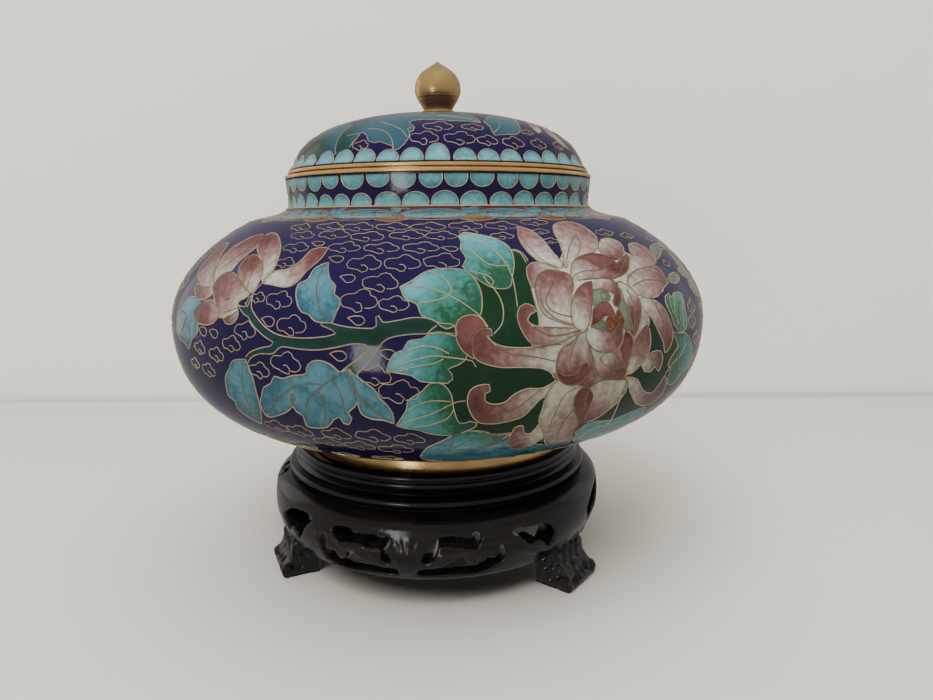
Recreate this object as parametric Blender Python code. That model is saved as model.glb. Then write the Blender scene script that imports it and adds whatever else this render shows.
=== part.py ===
# Cloisonne ginger jar on a carved wooden stand.
# Metres, +Z up. The origin is on the jar's axis, on the surface that the stand's feet rest on.
# Azimuths are degrees about the axis: 0 faces -Y, and they grow towards +X.

import math

import bmesh
import bpy
from mathutils import Matrix, Vector
from mathutils.geometry import interpolate_bezier

# Fits and fineness
JOINT_GAP = 0.0003
BODY_STEPS = 48
RING_STEPS = 36
FINIAL_STEPS = 24

# Carved base of the stand
LEG_COUNT = 3
PANEL_AZIMUTH = -6.3
FOOT_CLEARANCE = 0.0112
APRON_HEIGHT = 0.0155
SHOULDER_HEIGHT = 0.0036
SHOULDER_LEDGE = 0.0001
SHOULDER_SPREAD = 0.0043
BULGE_SPREAD = 0.0005
APRON_TUCK = 0.0034
APRON_WALL = 0.0043
LEG_WIDTH = 0.0160
LEG_STEP_IN = 0.0031
ANKLE_SPREAD = 0.0014
TOE_SPREAD = 0.0040
TOE_HEIGHT = 0.0056
TOE_UNDERCUT = 0.0007
LEG_EDGE_ROUND = 0.0022
OPENING_RIM = 0.0012

# Turned top of the stand
BAND_HEIGHT = 0.0034
BAND_SPREAD = 0.0025
COVE_HEIGHT = 0.0017
COVE_SPREAD = 0.0010
LIP_HEIGHT = 0.0042
LIP_WALL = 0.0013
LIP_GROOVE = 0.0006
SEAT_DEPTH = 0.0017
SEAT_PLAY = 0.0022
STAND_SHIFT = -0.0018

# Jar
FOOT_RING_RADIUS = 0.0433
FOOT_RING_HEIGHT = 0.0046
FOOT_RING_WALL = 0.0018
BASE_DOME = 0.0008
WALL = 0.0020
BELLY_RADIUS = 0.0825
BELLY_DROP = 0.0370
SHOULDER_RISE = 0.0293
NECK_RADIUS = 0.0471
NECK_FILLET_RUN = 0.0119
NECK_FILLET_RISE = 0.0052
NECK_HEIGHT = 0.0069
NECK_FLARE = 0.0007
MOUTH_RIM_HEIGHT = 0.0010
MOUTH_RIM_OVERHANG = 0.0002
MOUTH_RIM_WIDTH = 0.0032

# Lid
LID_RIM_HEIGHT = 0.0011
COLLAR_DEPTH = 0.0050
COLLAR_WALL = 0.0012
COLLAR_PLAY = 0.0005
LID_WALL = 0.0018
LID_LEDGE = 0.0015
LID_FLARE = 0.0012
LID_FLARE_HEIGHT = 0.0013
LID_CROWN_HEIGHT = 0.0170
LID_OVAL_DROP = 0.0027
LID_SQUARENESS = 2.4
SPIGOT_RADIUS = 0.0020
SPIGOT_FIT = 0.0003
FINIAL_HEIGHT = 0.0163
FINIAL_RADIUS = 0.0072
FINIAL_NECK_RADIUS = 0.0044
FINIAL_COLLAR_SPREAD = 0.0008
FINIAL_COLLAR_HEIGHT = 0.0014

# Heights that follow from the sizes above
APRON_TOP_Z = FOOT_CLEARANCE + APRON_HEIGHT
BASE_TOP_Z = APRON_TOP_Z + SHOULDER_HEIGHT
DISC_BOTTOM_Z = BASE_TOP_Z + JOINT_GAP
BAND_TOP_Z = DISC_BOTTOM_Z + BAND_HEIGHT
LIP_BOTTOM_Z = BAND_TOP_Z + COVE_HEIGHT
LIP_TOP_Z = LIP_BOTTOM_Z + LIP_HEIGHT
SEAT_Z = LIP_TOP_Z - SEAT_DEPTH
FOOT_RING_Z = SEAT_Z + JOINT_GAP
JAR_BASE_Z = FOOT_RING_Z + FOOT_RING_HEIGHT + JOINT_GAP
BELLY_Z = JAR_BASE_Z + BELLY_DROP
SHOULDER_Z = BELLY_Z + SHOULDER_RISE
NECK_Z = SHOULDER_Z + NECK_FILLET_RISE
NECK_TOP_Z = NECK_Z + NECK_HEIGHT
MOUTH_RIM_Z = NECK_TOP_Z + JOINT_GAP
LID_RIM_Z = MOUTH_RIM_Z + MOUTH_RIM_HEIGHT + JOINT_GAP
LID_DOME_Z = LID_RIM_Z + LID_RIM_HEIGHT + JOINT_GAP
LID_TOP_Z = LID_DOME_Z + LID_CROWN_HEIGHT
FINIAL_Z = LID_TOP_Z + JOINT_GAP

# Radii that follow, first of the jar and its lid, then of the stand that the foot ring sits in
SHOULDER_RADIUS = NECK_RADIUS + NECK_FILLET_RUN
MOUTH_RADIUS = NECK_RADIUS + NECK_FLARE
MOUTH_RIM_RADIUS = MOUTH_RADIUS + MOUTH_RIM_OVERHANG
MOUTH_BORE_RADIUS = MOUTH_RIM_RADIUS - MOUTH_RIM_WIDTH
LID_FOOT_RADIUS = MOUTH_RIM_RADIUS - LID_LEDGE
LID_RADIUS = LID_FOOT_RADIUS - LID_FLARE
FINIAL_COLLAR_RADIUS = FINIAL_NECK_RADIUS + FINIAL_COLLAR_SPREAD

SEAT_RADIUS = FOOT_RING_RADIUS + SEAT_PLAY
LIP_RADIUS = SEAT_RADIUS + LIP_WALL
COVE_RADIUS = LIP_RADIUS + COVE_SPREAD
BAND_RADIUS = LIP_RADIUS + BAND_SPREAD
SHOULDER_TOP_RADIUS = BAND_RADIUS + SHOULDER_LEDGE
CREST_RADIUS = SHOULDER_TOP_RADIUS + SHOULDER_SPREAD
APRON_BULGE_RADIUS = CREST_RADIUS + BULGE_SPREAD
APRON_FOOT_RADIUS = APRON_BULGE_RADIUS - APRON_TUCK
BASE_BORE_RADIUS = APRON_FOOT_RADIUS - APRON_WALL
LEG_INNER_RADIUS = BASE_BORE_RADIUS - LEG_STEP_IN
ANKLE_RADIUS = APRON_FOOT_RADIUS + ANKLE_SPREAD
TOE_RADIUS = ANKLE_RADIUS + TOE_SPREAD


def make_material(name, color, roughness, metallic):
    material = bpy.data.materials.new(name)
    material.use_nodes = True
    shader = material.node_tree.nodes["Principled BSDF"]
    shader.inputs["Base Color"].default_value = (*color, 1.0)
    shader.inputs["Roughness"].default_value = roughness
    shader.inputs["Metallic"].default_value = metallic
    return material


def add_object(name, mesh_data, material):
    """Turns a bmesh into a named object that is shaded smooth with its sharp edges kept."""
    bmesh.ops.recalc_face_normals(mesh_data, faces=mesh_data.faces)
    mesh = bpy.data.meshes.new(name)
    mesh_data.to_mesh(mesh)
    mesh_data.free()
    mesh.shade_smooth()
    mesh.set_sharp_from_angle(angle=math.radians(35))
    if material:
        mesh.materials.append(material)
    item = bpy.data.objects.new(name, mesh)
    bpy.context.scene.collection.objects.link(item)
    return item


def curve_points(start, handle, end_handle, end, count):
    """Points (radius, height) along one cubic curve, its end left out."""
    corners = [Vector((*point, 0.0)) for point in (start, handle, end_handle, end)]
    points = interpolate_bezier(*corners, count + 1)
    return [(point.x, point.y) for point in points[:-1]]


def offset_points(points, distance):
    """The same profile moved to the left of its direction, towards the axis for one that rises."""
    moved = []
    last = len(points) - 1
    for index, (radius, height) in enumerate(points):
        before = points[max(index - 1, 0)]
        after = points[min(index + 1, last)]
        along = Vector((after[0] - before[0], after[1] - before[1])).normalized()
        moved.append((radius - along.y * distance, height + along.x * distance))
    return moved


def turn_profile(profile, steps, closed):
    """Spins points (radius, height) about the axis. A closed profile makes a ring."""
    turned = bmesh.new()
    verts = [turned.verts.new((radius, 0.0, height)) for radius, height in profile]
    edges = [turned.edges.new(pair) for pair in zip(verts, verts[1:])]
    if closed:
        edges.append(turned.edges.new((verts[-1], verts[0])))
    bmesh.ops.spin(
        turned,
        geom=verts + edges,
        cent=(0.0, 0.0, 0.0),
        axis=(0.0, 0.0, 1.0),
        angle=math.tau,
        steps=steps,
        use_merge=True,
    )
    bmesh.ops.remove_doubles(turned, verts=turned.verts, dist=0.00001)
    return turned


def belly_profile(lower_count, upper_count, fillet_count):
    """The vessel's outside, from the foot line to the top of the neck."""
    foot = (FOOT_RING_RADIUS, JAR_BASE_Z)
    widest = (BELLY_RADIUS, BELLY_Z)
    shoulder = (SHOULDER_RADIUS, SHOULDER_Z)
    neck = (NECK_RADIUS, NECK_Z)
    lower_reach = BELLY_RADIUS - FOOT_RING_RADIUS
    upper_reach = BELLY_RADIUS - SHOULDER_RADIUS
    foot_pull = (0.58, 0.18)
    lower_pull = 0.635
    upper_pull = 0.36
    shoulder_pull = (0.66, 0.276)
    fillet_pull = (0.31, 0.28)
    neck_pull = 0.69
    foot_handle = (foot[0] + foot_pull[0] * lower_reach, foot[1] + foot_pull[1] * BELLY_DROP)
    lower_handle = (BELLY_RADIUS, BELLY_Z - lower_pull * BELLY_DROP)
    upper_handle = (BELLY_RADIUS, BELLY_Z + upper_pull * SHOULDER_RISE)
    shoulder_handle = (
        SHOULDER_RADIUS + shoulder_pull[0] * upper_reach,
        SHOULDER_Z - shoulder_pull[1] * SHOULDER_RISE,
    )
    fillet_handle = (
        SHOULDER_RADIUS - fillet_pull[0] * NECK_FILLET_RUN,
        SHOULDER_Z + fillet_pull[1] * NECK_FILLET_RISE,
    )
    neck_handle = (NECK_RADIUS, NECK_Z - neck_pull * NECK_FILLET_RISE)
    points = curve_points(foot, foot_handle, lower_handle, widest, lower_count)
    points += curve_points(widest, upper_handle, shoulder_handle, shoulder, upper_count)
    points += curve_points(shoulder, fillet_handle, neck_handle, neck, fillet_count)
    points += [neck, (MOUTH_RADIUS, NECK_TOP_Z)]
    return points


def make_jar_body(material):
    outside = belly_profile(8, 6, 3)
    inside = offset_points(belly_profile(5, 3, 2), WALL)
    inside[-1] = (MOUTH_RADIUS - WALL, NECK_TOP_Z)
    floor_z = JAR_BASE_Z + BASE_DOME + WALL
    profile = [(0.0, JAR_BASE_Z + BASE_DOME)] + outside + inside[:0:-1]
    profile += [(FOOT_RING_RADIUS - WALL, floor_z), (0.0, floor_z)]
    return add_object("jar_body", turn_profile(profile, BODY_STEPS, False), material)


def make_mouth_rim(material):
    round_off = MOUTH_RIM_HEIGHT * 0.3
    top_z = MOUTH_RIM_Z + MOUTH_RIM_HEIGHT
    profile = [
        (MOUTH_BORE_RADIUS, MOUTH_RIM_Z),
        (MOUTH_RIM_RADIUS - round_off, MOUTH_RIM_Z),
        (MOUTH_RIM_RADIUS, MOUTH_RIM_Z + round_off),
        (MOUTH_RIM_RADIUS, top_z - round_off),
        (MOUTH_RIM_RADIUS - round_off, top_z),
        (MOUTH_BORE_RADIUS, top_z),
    ]
    return add_object("mouth_rim", turn_profile(profile, RING_STEPS, True), material)


def make_foot_ring(material):
    top_z = FOOT_RING_Z + FOOT_RING_HEIGHT
    inner = FOOT_RING_RADIUS - FOOT_RING_WALL
    round_off = FOOT_RING_WALL * 0.25
    profile = [
        (inner, FOOT_RING_Z + round_off),
        (inner + round_off, FOOT_RING_Z),
        (FOOT_RING_RADIUS - round_off, FOOT_RING_Z),
        (FOOT_RING_RADIUS, FOOT_RING_Z + round_off),
        (FOOT_RING_RADIUS, top_z),
        (inner, top_z),
    ]
    return add_object("foot_ring", turn_profile(profile, RING_STEPS, True), material)


def make_lid_rim(material):
    top_z = LID_RIM_Z + LID_RIM_HEIGHT
    collar_outer = MOUTH_BORE_RADIUS - COLLAR_PLAY
    collar_inner = collar_outer - COLLAR_WALL
    collar_z = LID_RIM_Z - COLLAR_DEPTH
    round_off = LID_RIM_HEIGHT * 0.3
    profile = [
        (collar_inner, collar_z),
        (collar_outer, collar_z),
        (collar_outer, LID_RIM_Z),
        (MOUTH_RIM_RADIUS - round_off, LID_RIM_Z),
        (MOUTH_RIM_RADIUS, LID_RIM_Z + round_off),
        (MOUTH_RIM_RADIUS, top_z - round_off),
        (MOUTH_RIM_RADIUS - round_off, top_z),
        (collar_inner, top_z),
    ]
    return add_object("lid_rim", turn_profile(profile, RING_STEPS, True), material)


def crown_profile(wall_depth, hole_radius, count):
    """A squarish oval from the top of the dome's flare up to the hole in its top."""
    radius = LID_RADIUS - wall_depth
    centre_z = LID_DOME_Z - LID_OVAL_DROP
    height = LID_CROWN_HEIGHT + LID_OVAL_DROP - wall_depth
    first_share = (LID_OVAL_DROP + LID_FLARE_HEIGHT) / height
    last_share = (1.0 - (hole_radius / radius) ** LID_SQUARENESS) ** (1.0 / LID_SQUARENESS)
    first_across = (1.0 - first_share**LID_SQUARENESS) ** (1.0 / LID_SQUARENESS)
    first_angle = math.atan2(first_share, first_across)
    last_angle = math.atan2(last_share, hole_radius / radius)
    points = []
    for index in range(count + 1):
        angle = first_angle + (last_angle - first_angle) * index / count
        cosine = math.cos(angle)
        sine = math.sin(angle)
        scale = (cosine**LID_SQUARENESS + sine**LID_SQUARENESS) ** (-1.0 / LID_SQUARENESS)
        points.append((radius * cosine * scale, centre_z + height * sine * scale))
    return points


def make_lid_dome(material):
    hole = SPIGOT_RADIUS + SPIGOT_FIT
    outside = crown_profile(0.0, hole, 8)
    inside = crown_profile(LID_WALL, hole, 5)
    profile = [(LID_FOOT_RADIUS, LID_DOME_Z)] + outside + inside[::-1]
    profile.append((LID_FOOT_RADIUS - LID_WALL, LID_DOME_Z))
    return add_object("lid_dome", turn_profile(profile, RING_STEPS, True), material)


def make_finial(material):
    collar_top_z = FINIAL_Z + FINIAL_COLLAR_HEIGHT
    bulb_height = FINIAL_HEIGHT - FINIAL_COLLAR_HEIGHT
    widest_share = 0.4
    neck_pull = (0.74, 0.13)
    low_pull = 0.12
    high_pull = 0.4
    tip_pull = (0.36, 0.16)
    widest_z = collar_top_z + widest_share * bulb_height
    tip_z = FINIAL_Z + FINIAL_HEIGHT
    neck = (FINIAL_NECK_RADIUS, collar_top_z)
    neck_handle = (neck_pull[0] * FINIAL_RADIUS, collar_top_z + neck_pull[1] * bulb_height)
    widest_low = (FINIAL_RADIUS, widest_z - low_pull * bulb_height)
    widest = (FINIAL_RADIUS, widest_z)
    widest_high = (FINIAL_RADIUS, widest_z + high_pull * bulb_height)
    tip_handle = (tip_pull[0] * FINIAL_RADIUS, tip_z - tip_pull[1] * bulb_height)
    profile = [(0.0, FINIAL_Z - LID_WALL), (SPIGOT_RADIUS, FINIAL_Z - LID_WALL), (SPIGOT_RADIUS, FINIAL_Z)]
    profile += [(FINIAL_COLLAR_RADIUS, FINIAL_Z), (FINIAL_COLLAR_RADIUS, collar_top_z)]
    profile += curve_points(neck, neck_handle, widest_low, widest, 4)
    profile += curve_points(widest, widest_high, tip_handle, (0.0, tip_z), 6)
    profile.append((0.0, tip_z))
    return add_object("finial", turn_profile(profile, FINIAL_STEPS, False), material)


def make_stand_top(material):
    middle_z = LIP_BOTTOM_Z + 0.5 * LIP_HEIGHT
    edge = BAND_HEIGHT * 0.22
    cove_z = BAND_TOP_Z + 0.3 * COVE_HEIGHT
    profile = [
        (0.0, DISC_BOTTOM_Z),
        (BAND_RADIUS - edge, DISC_BOTTOM_Z),
        (BAND_RADIUS, DISC_BOTTOM_Z + edge),
        (BAND_RADIUS, BAND_TOP_Z - edge),
        (BAND_RADIUS - edge, BAND_TOP_Z),
        (COVE_RADIUS, cove_z),
        (LIP_RADIUS - LIP_GROOVE, LIP_BOTTOM_Z),
        (LIP_RADIUS, LIP_BOTTOM_Z + LIP_GROOVE),
        (LIP_RADIUS, middle_z - LIP_GROOVE),
        (LIP_RADIUS - LIP_GROOVE, middle_z),
        (LIP_RADIUS, middle_z + LIP_GROOVE),
        (LIP_RADIUS - 0.5 * LIP_GROOVE, LIP_TOP_Z),
        (SEAT_RADIUS, LIP_TOP_Z),
        (SEAT_RADIUS, SEAT_Z),
        (0.0, SEAT_Z),
    ]
    item = add_object("stand_top", turn_profile(profile, RING_STEPS, False), material)
    item.location.x = STAND_SHIFT
    return item


def polar_point(degrees, radius, height):
    angle = math.radians(degrees)
    return Vector((radius * math.sin(angle), -radius * math.cos(angle), height))


def opening_outlines():
    """The three openings on the right of a panel's middle.

    Each point is (degrees from the panel's middle, share of the height that the openings take up).
    """
    upper = [
        (4.6, 0.36), (6.4, 0.53), (5.2, 0.76), (6.6, 0.97), (12.0, 1.0), (18.0, 0.97), (23.6, 1.0),
        (22.6, 0.70), (17.6, 0.73), (13.6, 0.68), (9.2, 0.71), (8.4, 0.56), (9.0, 0.40), (7.2, 0.36),
    ]
    lower = [
        (3.8, 0.0), (13.0, 0.01), (20.0, 0.03), (25.5, 0.11), (29.2, 0.26), (30.4, 0.50), (30.0, 0.76),
        (27.6, 0.78), (27.4, 0.54), (25.6, 0.42), (23.4, 0.37), (21.8, 0.19), (19.4, 0.20), (18.4, 0.42),
        (16.4, 0.46), (14.6, 0.32), (11.0, 0.21), (7.6, 0.16), (3.8, 0.15),
    ]
    outer = [
        (33.4, 0.80), (36.8, 0.62), (38.6, 0.66), (41.0, 0.52), (43.2, 0.60), (46.2, 0.34), (48.6, 0.58),
        (48.0, 0.80), (44.6, 0.94), (39.4, 1.0), (35.4, 0.96),
    ]
    return [upper, lower, outer]


def make_opening_cutter():
    """One helper mesh with a radial prism for every opening of the apron."""
    cutter = bmesh.new()
    low = FOOT_CLEARANCE + 2.0 * OPENING_RIM
    span = APRON_HEIGHT - 3.0 * OPENING_RIM
    near = 0.6 * BASE_BORE_RADIUS
    far = 1.2 * APRON_BULGE_RADIUS
    for leg in range(LEG_COUNT):
        middle = PANEL_AZIMUTH + leg * 360.0 / LEG_COUNT
        for outline in opening_outlines():
            for side in (-1.0, 1.0):
                rays = [(middle + side * degrees, low + share * span) for degrees, share in outline]
                inner = [cutter.verts.new(polar_point(degrees, near, height)) for degrees, height in rays]
                face = cutter.faces.new(inner)
                grown = bmesh.ops.extrude_face_region(cutter, geom=[face])
                for vert in grown["geom"]:
                    if isinstance(vert, bmesh.types.BMVert):
                        vert.co.xy *= far / near
    item = add_object("opening_cutter", cutter, None)
    return hide_helper(item)


def make_leg_blanks():
    """Three legs, each its side view drawn out to the leg's width."""
    root_z = FOOT_CLEARANCE + 0.3 * APRON_HEIGHT
    root_top_z = FOOT_CLEARANCE + 0.55 * APRON_HEIGHT
    outline = [
        (LEG_INNER_RADIUS, 0.0),
        (TOE_RADIUS - TOE_UNDERCUT, 0.0),
        (TOE_RADIUS, 0.35 * TOE_HEIGHT),
        (TOE_RADIUS - 0.4 * TOE_UNDERCUT, 0.7 * TOE_HEIGHT),
        (0.5 * (TOE_RADIUS + ANKLE_RADIUS), TOE_HEIGHT),
        (ANKLE_RADIUS, 1.5 * TOE_HEIGHT),
        (ANKLE_RADIUS, FOOT_CLEARANCE),
        (APRON_FOOT_RADIUS + 0.6 * APRON_TUCK, root_z),
        (BASE_BORE_RADIUS + 0.5 * APRON_WALL, root_top_z),
        (LEG_INNER_RADIUS, root_z),
    ]
    blanks = bmesh.new()
    for leg in range(LEG_COUNT):
        azimuth = PANEL_AZIMUTH + (leg + 0.5) * 360.0 / LEG_COUNT
        side = [blanks.verts.new((-0.5 * LEG_WIDTH, -radius, height)) for radius, height in outline]
        face = blanks.faces.new(side)
        grown = bmesh.ops.extrude_face_region(blanks, geom=[face])
        far = [vert for vert in grown["geom"] if isinstance(vert, bmesh.types.BMVert)]
        bmesh.ops.translate(blanks, verts=far, vec=(LEG_WIDTH, 0.0, 0.0))
        front = [edge for vert in side + far for edge in vert.link_edges if is_front_edge(edge)]
        rounded = bmesh.ops.bevel(
            blanks,
            geom=list(set(front)),
            offset=LEG_EDGE_ROUND,
            segments=2,
            profile=0.5,
            affect="EDGES",
            material=-1,
            clamp_overlap=True,
        )
        parts = {vert for vert in side + far if vert.is_valid}
        parts |= {vert for leg_face in rounded["faces"] for vert in leg_face.verts}
        bmesh.ops.rotate(
            blanks,
            verts=list(parts),
            cent=(0.0, 0.0, 0.0),
            matrix=Matrix.Rotation(math.radians(azimuth), 3, "Z"),
        )
    item = add_object("leg_blanks", blanks, None)
    return hide_helper(item)


def is_front_edge(edge):
    """Long edges down the leg's outer face, on either side of it."""
    first, second = edge.verts
    same_side = abs(first.co.x - second.co.x) < 0.00001
    outer = min(-first.co.y, -second.co.y) > APRON_FOOT_RADIUS
    return same_side and outer


def hide_helper(item):
    item.hide_render = True
    item.display_type = "WIRE"
    return item


def make_stand_base(material):
    bulge_z = FOOT_CLEARANCE + 0.62 * APRON_HEIGHT
    lower_z = FOOT_CLEARANCE + 0.25 * APRON_HEIGHT
    lower_radius = APRON_FOOT_RADIUS + 0.62 * APRON_TUCK
    shoulder_z = APRON_TOP_Z + 0.6 * SHOULDER_HEIGHT
    shoulder_radius = SHOULDER_TOP_RADIUS + 0.62 * SHOULDER_SPREAD
    profile = [
        (BASE_BORE_RADIUS, FOOT_CLEARANCE),
        (APRON_FOOT_RADIUS, FOOT_CLEARANCE),
        (lower_radius, lower_z),
        (APRON_BULGE_RADIUS, bulge_z),
        (CREST_RADIUS, APRON_TOP_Z),
        (shoulder_radius, shoulder_z),
        (SHOULDER_TOP_RADIUS, BASE_TOP_Z),
        (BASE_BORE_RADIUS, BASE_TOP_Z),
    ]
    item = add_object("stand_base", turn_profile(profile, RING_STEPS, True), material)
    item.location.x = STAND_SHIFT
    for helper, operation in ((make_leg_blanks(), "UNION"), (make_opening_cutter(), "DIFFERENCE")):
        helper.location.x = STAND_SHIFT
        step = item.modifiers.new(helper.name, "BOOLEAN")
        step.operation = operation
        step.solver = "EXACT"
        step.object = helper
    return item


def clear_scene():
    for item in list(bpy.data.objects):
        bpy.data.objects.remove(item)


def build():
    clear_scene()
    enamel = make_material("cobalt_enamel", (0.012, 0.010, 0.13), 0.12, 0.0)
    brass = make_material("gilt_brass", (0.62, 0.36, 0.12), 0.28, 1.0)
    wood = make_material("black_lacquered_wood", (0.010, 0.007, 0.006), 0.18, 0.0)
    make_stand_base(wood)
    make_stand_top(wood)
    make_foot_ring(brass)
    make_jar_body(enamel)
    make_mouth_rim(brass)
    make_lid_rim(brass)
    make_lid_dome(enamel)
    make_finial(brass)


build()
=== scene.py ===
import math
import random
from bisect import bisect_right

import bmesh
import bpy
from mathutils import Matrix, Vector, noise
from mathutils.geometry import delaunay_2d_cdt, interpolate_bezier
from mathutils.kdtree import KDTree


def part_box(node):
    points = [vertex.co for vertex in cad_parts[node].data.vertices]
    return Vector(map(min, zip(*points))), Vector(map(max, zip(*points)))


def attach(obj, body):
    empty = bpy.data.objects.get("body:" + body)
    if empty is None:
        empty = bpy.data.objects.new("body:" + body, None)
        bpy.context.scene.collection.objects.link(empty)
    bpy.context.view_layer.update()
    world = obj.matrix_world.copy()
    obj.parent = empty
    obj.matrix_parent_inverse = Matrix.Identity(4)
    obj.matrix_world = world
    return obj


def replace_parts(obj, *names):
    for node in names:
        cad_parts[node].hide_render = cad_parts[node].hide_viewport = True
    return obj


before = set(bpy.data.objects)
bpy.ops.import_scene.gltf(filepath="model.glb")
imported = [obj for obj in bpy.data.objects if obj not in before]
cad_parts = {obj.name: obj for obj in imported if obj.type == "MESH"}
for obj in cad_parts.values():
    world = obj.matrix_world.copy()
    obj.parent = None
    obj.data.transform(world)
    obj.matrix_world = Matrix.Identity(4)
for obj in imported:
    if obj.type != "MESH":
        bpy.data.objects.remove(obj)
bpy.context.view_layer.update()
dice = random.Random(38)

# The camera, as it stood for the photograph. Its pixels also place the drawing on the jar.
view = {
    "place": Vector((0.008415, -0.230835, 0.1101)),
    "tilt": 79.38,
    "roll": -0.42,
    "focal": 700.0,
    "width": 933,
    "height": 700,
    "sensor": 36.0,
}


def spun(degrees, axis, size=3):
    return Matrix.Rotation(math.radians(degrees), size, axis)


def addItem(name, data):
    item = bpy.data.objects.new(name, data)
    bpy.context.scene.collection.objects.link(item)
    return item


viewTurn = spun(view["tilt"], "X") @ spun(view["roll"], "Z")


def makeCamera():
    data = bpy.data.cameras.new("camera")
    data.sensor_width = view["sensor"]
    data.lens = view["focal"] / view["width"] * view["sensor"]
    data.clip_start = 0.01
    item = addItem("camera", data)
    item.matrix_world = Matrix.Translation(view["place"]) @ viewTurn.to_4x4()
    bpy.context.scene.camera = item


# Small helpers for meshes


def bottomOf(node):
    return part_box(node)[0].z


def topOf(node):
    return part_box(node)[1].z


def keepObject(name, mesh, finishes, sharp=35.0):
    mesh.shade_smooth()
    mesh.set_sharp_from_angle(angle=math.radians(sharp))
    for finish in finishes:
        mesh.materials.append(finish)
    item = addItem(name, mesh)
    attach(item, "root")
    return item


def meshOf(name, work):
    mesh = bpy.data.meshes.new(name)
    work.to_mesh(mesh)
    work.free()
    return mesh


def applied(item):
    # The item's mesh as its modifiers or its curve's thickness make it, in place of the item.
    bpy.context.view_layer.update()
    mesh = bpy.data.meshes.new_from_object(item.evaluated_get(bpy.context.evaluated_depsgraph_get()))
    bpy.data.objects.remove(item)
    return mesh


def spinProfile(profile, steps, closed, merge):
    work = bmesh.new()
    verts = [work.verts.new((radius, 0.0, height)) for radius, height in profile]
    edges = [work.edges.new(pair) for pair in zip(verts, verts[1:])]
    if closed:
        edges.append(work.edges.new((verts[-1], verts[0])))
    circle = {"cent": (0, 0, 0), "axis": (0, 0, 1), "angle": math.tau, "steps": steps}
    bmesh.ops.spin(work, geom=verts + edges, use_merge=True, **circle)
    bmesh.ops.remove_doubles(work, verts=work.verts, dist=merge)
    bmesh.ops.recalc_face_normals(work, faces=work.faces)
    return work


def turn(name, profile, steps, closed, finishes, slot, shift=0.0, inside=None):
    work = spinProfile(profile, steps, closed, 0.000005)
    if inside:
        for face in work.faces:
            if inside(face):
                face.material_index = 1
    bmesh.ops.translate(work, verts=work.verts, vec=(shift, 0, 0))
    return keepObject(name, meshOf(name, work), finishes)


def bezier(start, handle, endHandle, end, count):
    corners = [Vector((*point, 0.0)) for point in (start, handle, endHandle, end)]
    return [(point.x, point.y) for point in interpolate_bezier(*corners, count + 1)][:-1]


def moveInward(points, distance):
    moved = []
    last = len(points) - 1
    for index, (radius, height) in enumerate(points):
        before = points[max(index - 1, 0)]
        after = points[min(index + 1, last)]
        along = Vector((after[0] - before[0], after[1] - before[1])).normalized()
        moved.append((radius - along.y * distance, height + along.x * distance))
    return moved


def arc(centre, radius, first, last, count):
    angles = [math.radians(first + (last - first) * step / count) for step in range(count + 1)]
    return [(centre[0] + radius * math.cos(angle), centre[1] + radius * math.sin(angle)) for angle in angles]


# The turned shapes, with the solids' own sizes

jar = {
    "wall": 0.0020,
    "footRadius": 0.0433,
    "bellyRadius": 0.0825,
    "bellyDrop": 0.0370,
    "shoulderRise": 0.0293,
    "neckRadius": 0.0471,
    "filletRun": 0.0119,
    "filletRise": 0.0052,
    "neckFlare": 0.0007,
    "baseDome": 0.0008,
    "innerReach": 0.081,
    "steps": 192,
}
jarFootZ = bottomOf("jar_body")
jarTopZ = topOf("jar_body")
bellyZ = jarFootZ + jar["bellyDrop"]
shoulderZ = bellyZ + jar["shoulderRise"]
neckZ = shoulderZ + jar["filletRise"]
mouthRadius = jar["neckRadius"] + jar["neckFlare"]


def bellyProfile(lower, upper, fillet):
    foot = jar["footRadius"]
    belly = jar["bellyRadius"]
    neck = jar["neckRadius"]
    shoulder = neck + jar["filletRun"]
    reach = belly - foot
    points = bezier(
        (foot, jarFootZ),
        (foot + 0.58 * reach, jarFootZ + 0.18 * jar["bellyDrop"]),
        (belly, bellyZ - 0.635 * jar["bellyDrop"]),
        (belly, bellyZ),
        lower,
    )
    points += bezier(
        (belly, bellyZ),
        (belly, bellyZ + 0.36 * jar["shoulderRise"]),
        (shoulder + 0.66 * (belly - shoulder), shoulderZ - 0.276 * jar["shoulderRise"]),
        (shoulder, shoulderZ),
        upper,
    )
    points += bezier(
        (shoulder, shoulderZ),
        (shoulder - 0.31 * jar["filletRun"], shoulderZ + 0.28 * jar["filletRise"]),
        (neck, neckZ - 0.69 * jar["filletRise"]),
        (neck, neckZ),
        fillet,
    )
    return points + [(neck, neckZ), (mouthRadius, jarTopZ)]


lid = {
    "wall": 0.0018,
    "height": 0.0170,
    "rimStep": 0.0010,
    "ledge": 0.0015,
    "flare": 0.0008,
    "flareHeight": 0.0013,
    "ovalDrop": 0.0027,
    "squareness": 2.4,
    "hole": 0.0023,
    "steps": 160,
}
lidFootZ = bottomOf("lid_dome")
lidTopZ = lidFootZ + lid["height"]
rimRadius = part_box("lid_rim")[1].x
lidFootRadius = rimRadius - lid["ledge"]
lidRadius = lidFootRadius - lid["flare"]


def crownProfile(depth, count):
    power = lid["squareness"]
    radius = lidRadius - depth
    low = lidFootZ - lid["ovalDrop"]
    height = lidTopZ - low - depth
    firstShare = (lid["ovalDrop"] + lid["flareHeight"]) / height
    lastShare = (1.0 - (lid["hole"] / radius) ** power) ** (1.0 / power)
    first = math.atan2(firstShare, (1.0 - firstShare**power) ** (1.0 / power))
    last = math.atan2(lastShare, lid["hole"] / radius)
    points = []
    for index in range(count + 1):
        angle = first + (last - first) * index / count
        scale = (math.cos(angle) ** power + math.sin(angle) ** power) ** (-1.0 / power)
        points.append((radius * math.cos(angle) * scale, low + height * math.sin(angle) * scale))
    return points


# Drawing on a turned surface, by a flat chart in metres: a band's is unrolled, a dome's is seen from above


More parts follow.
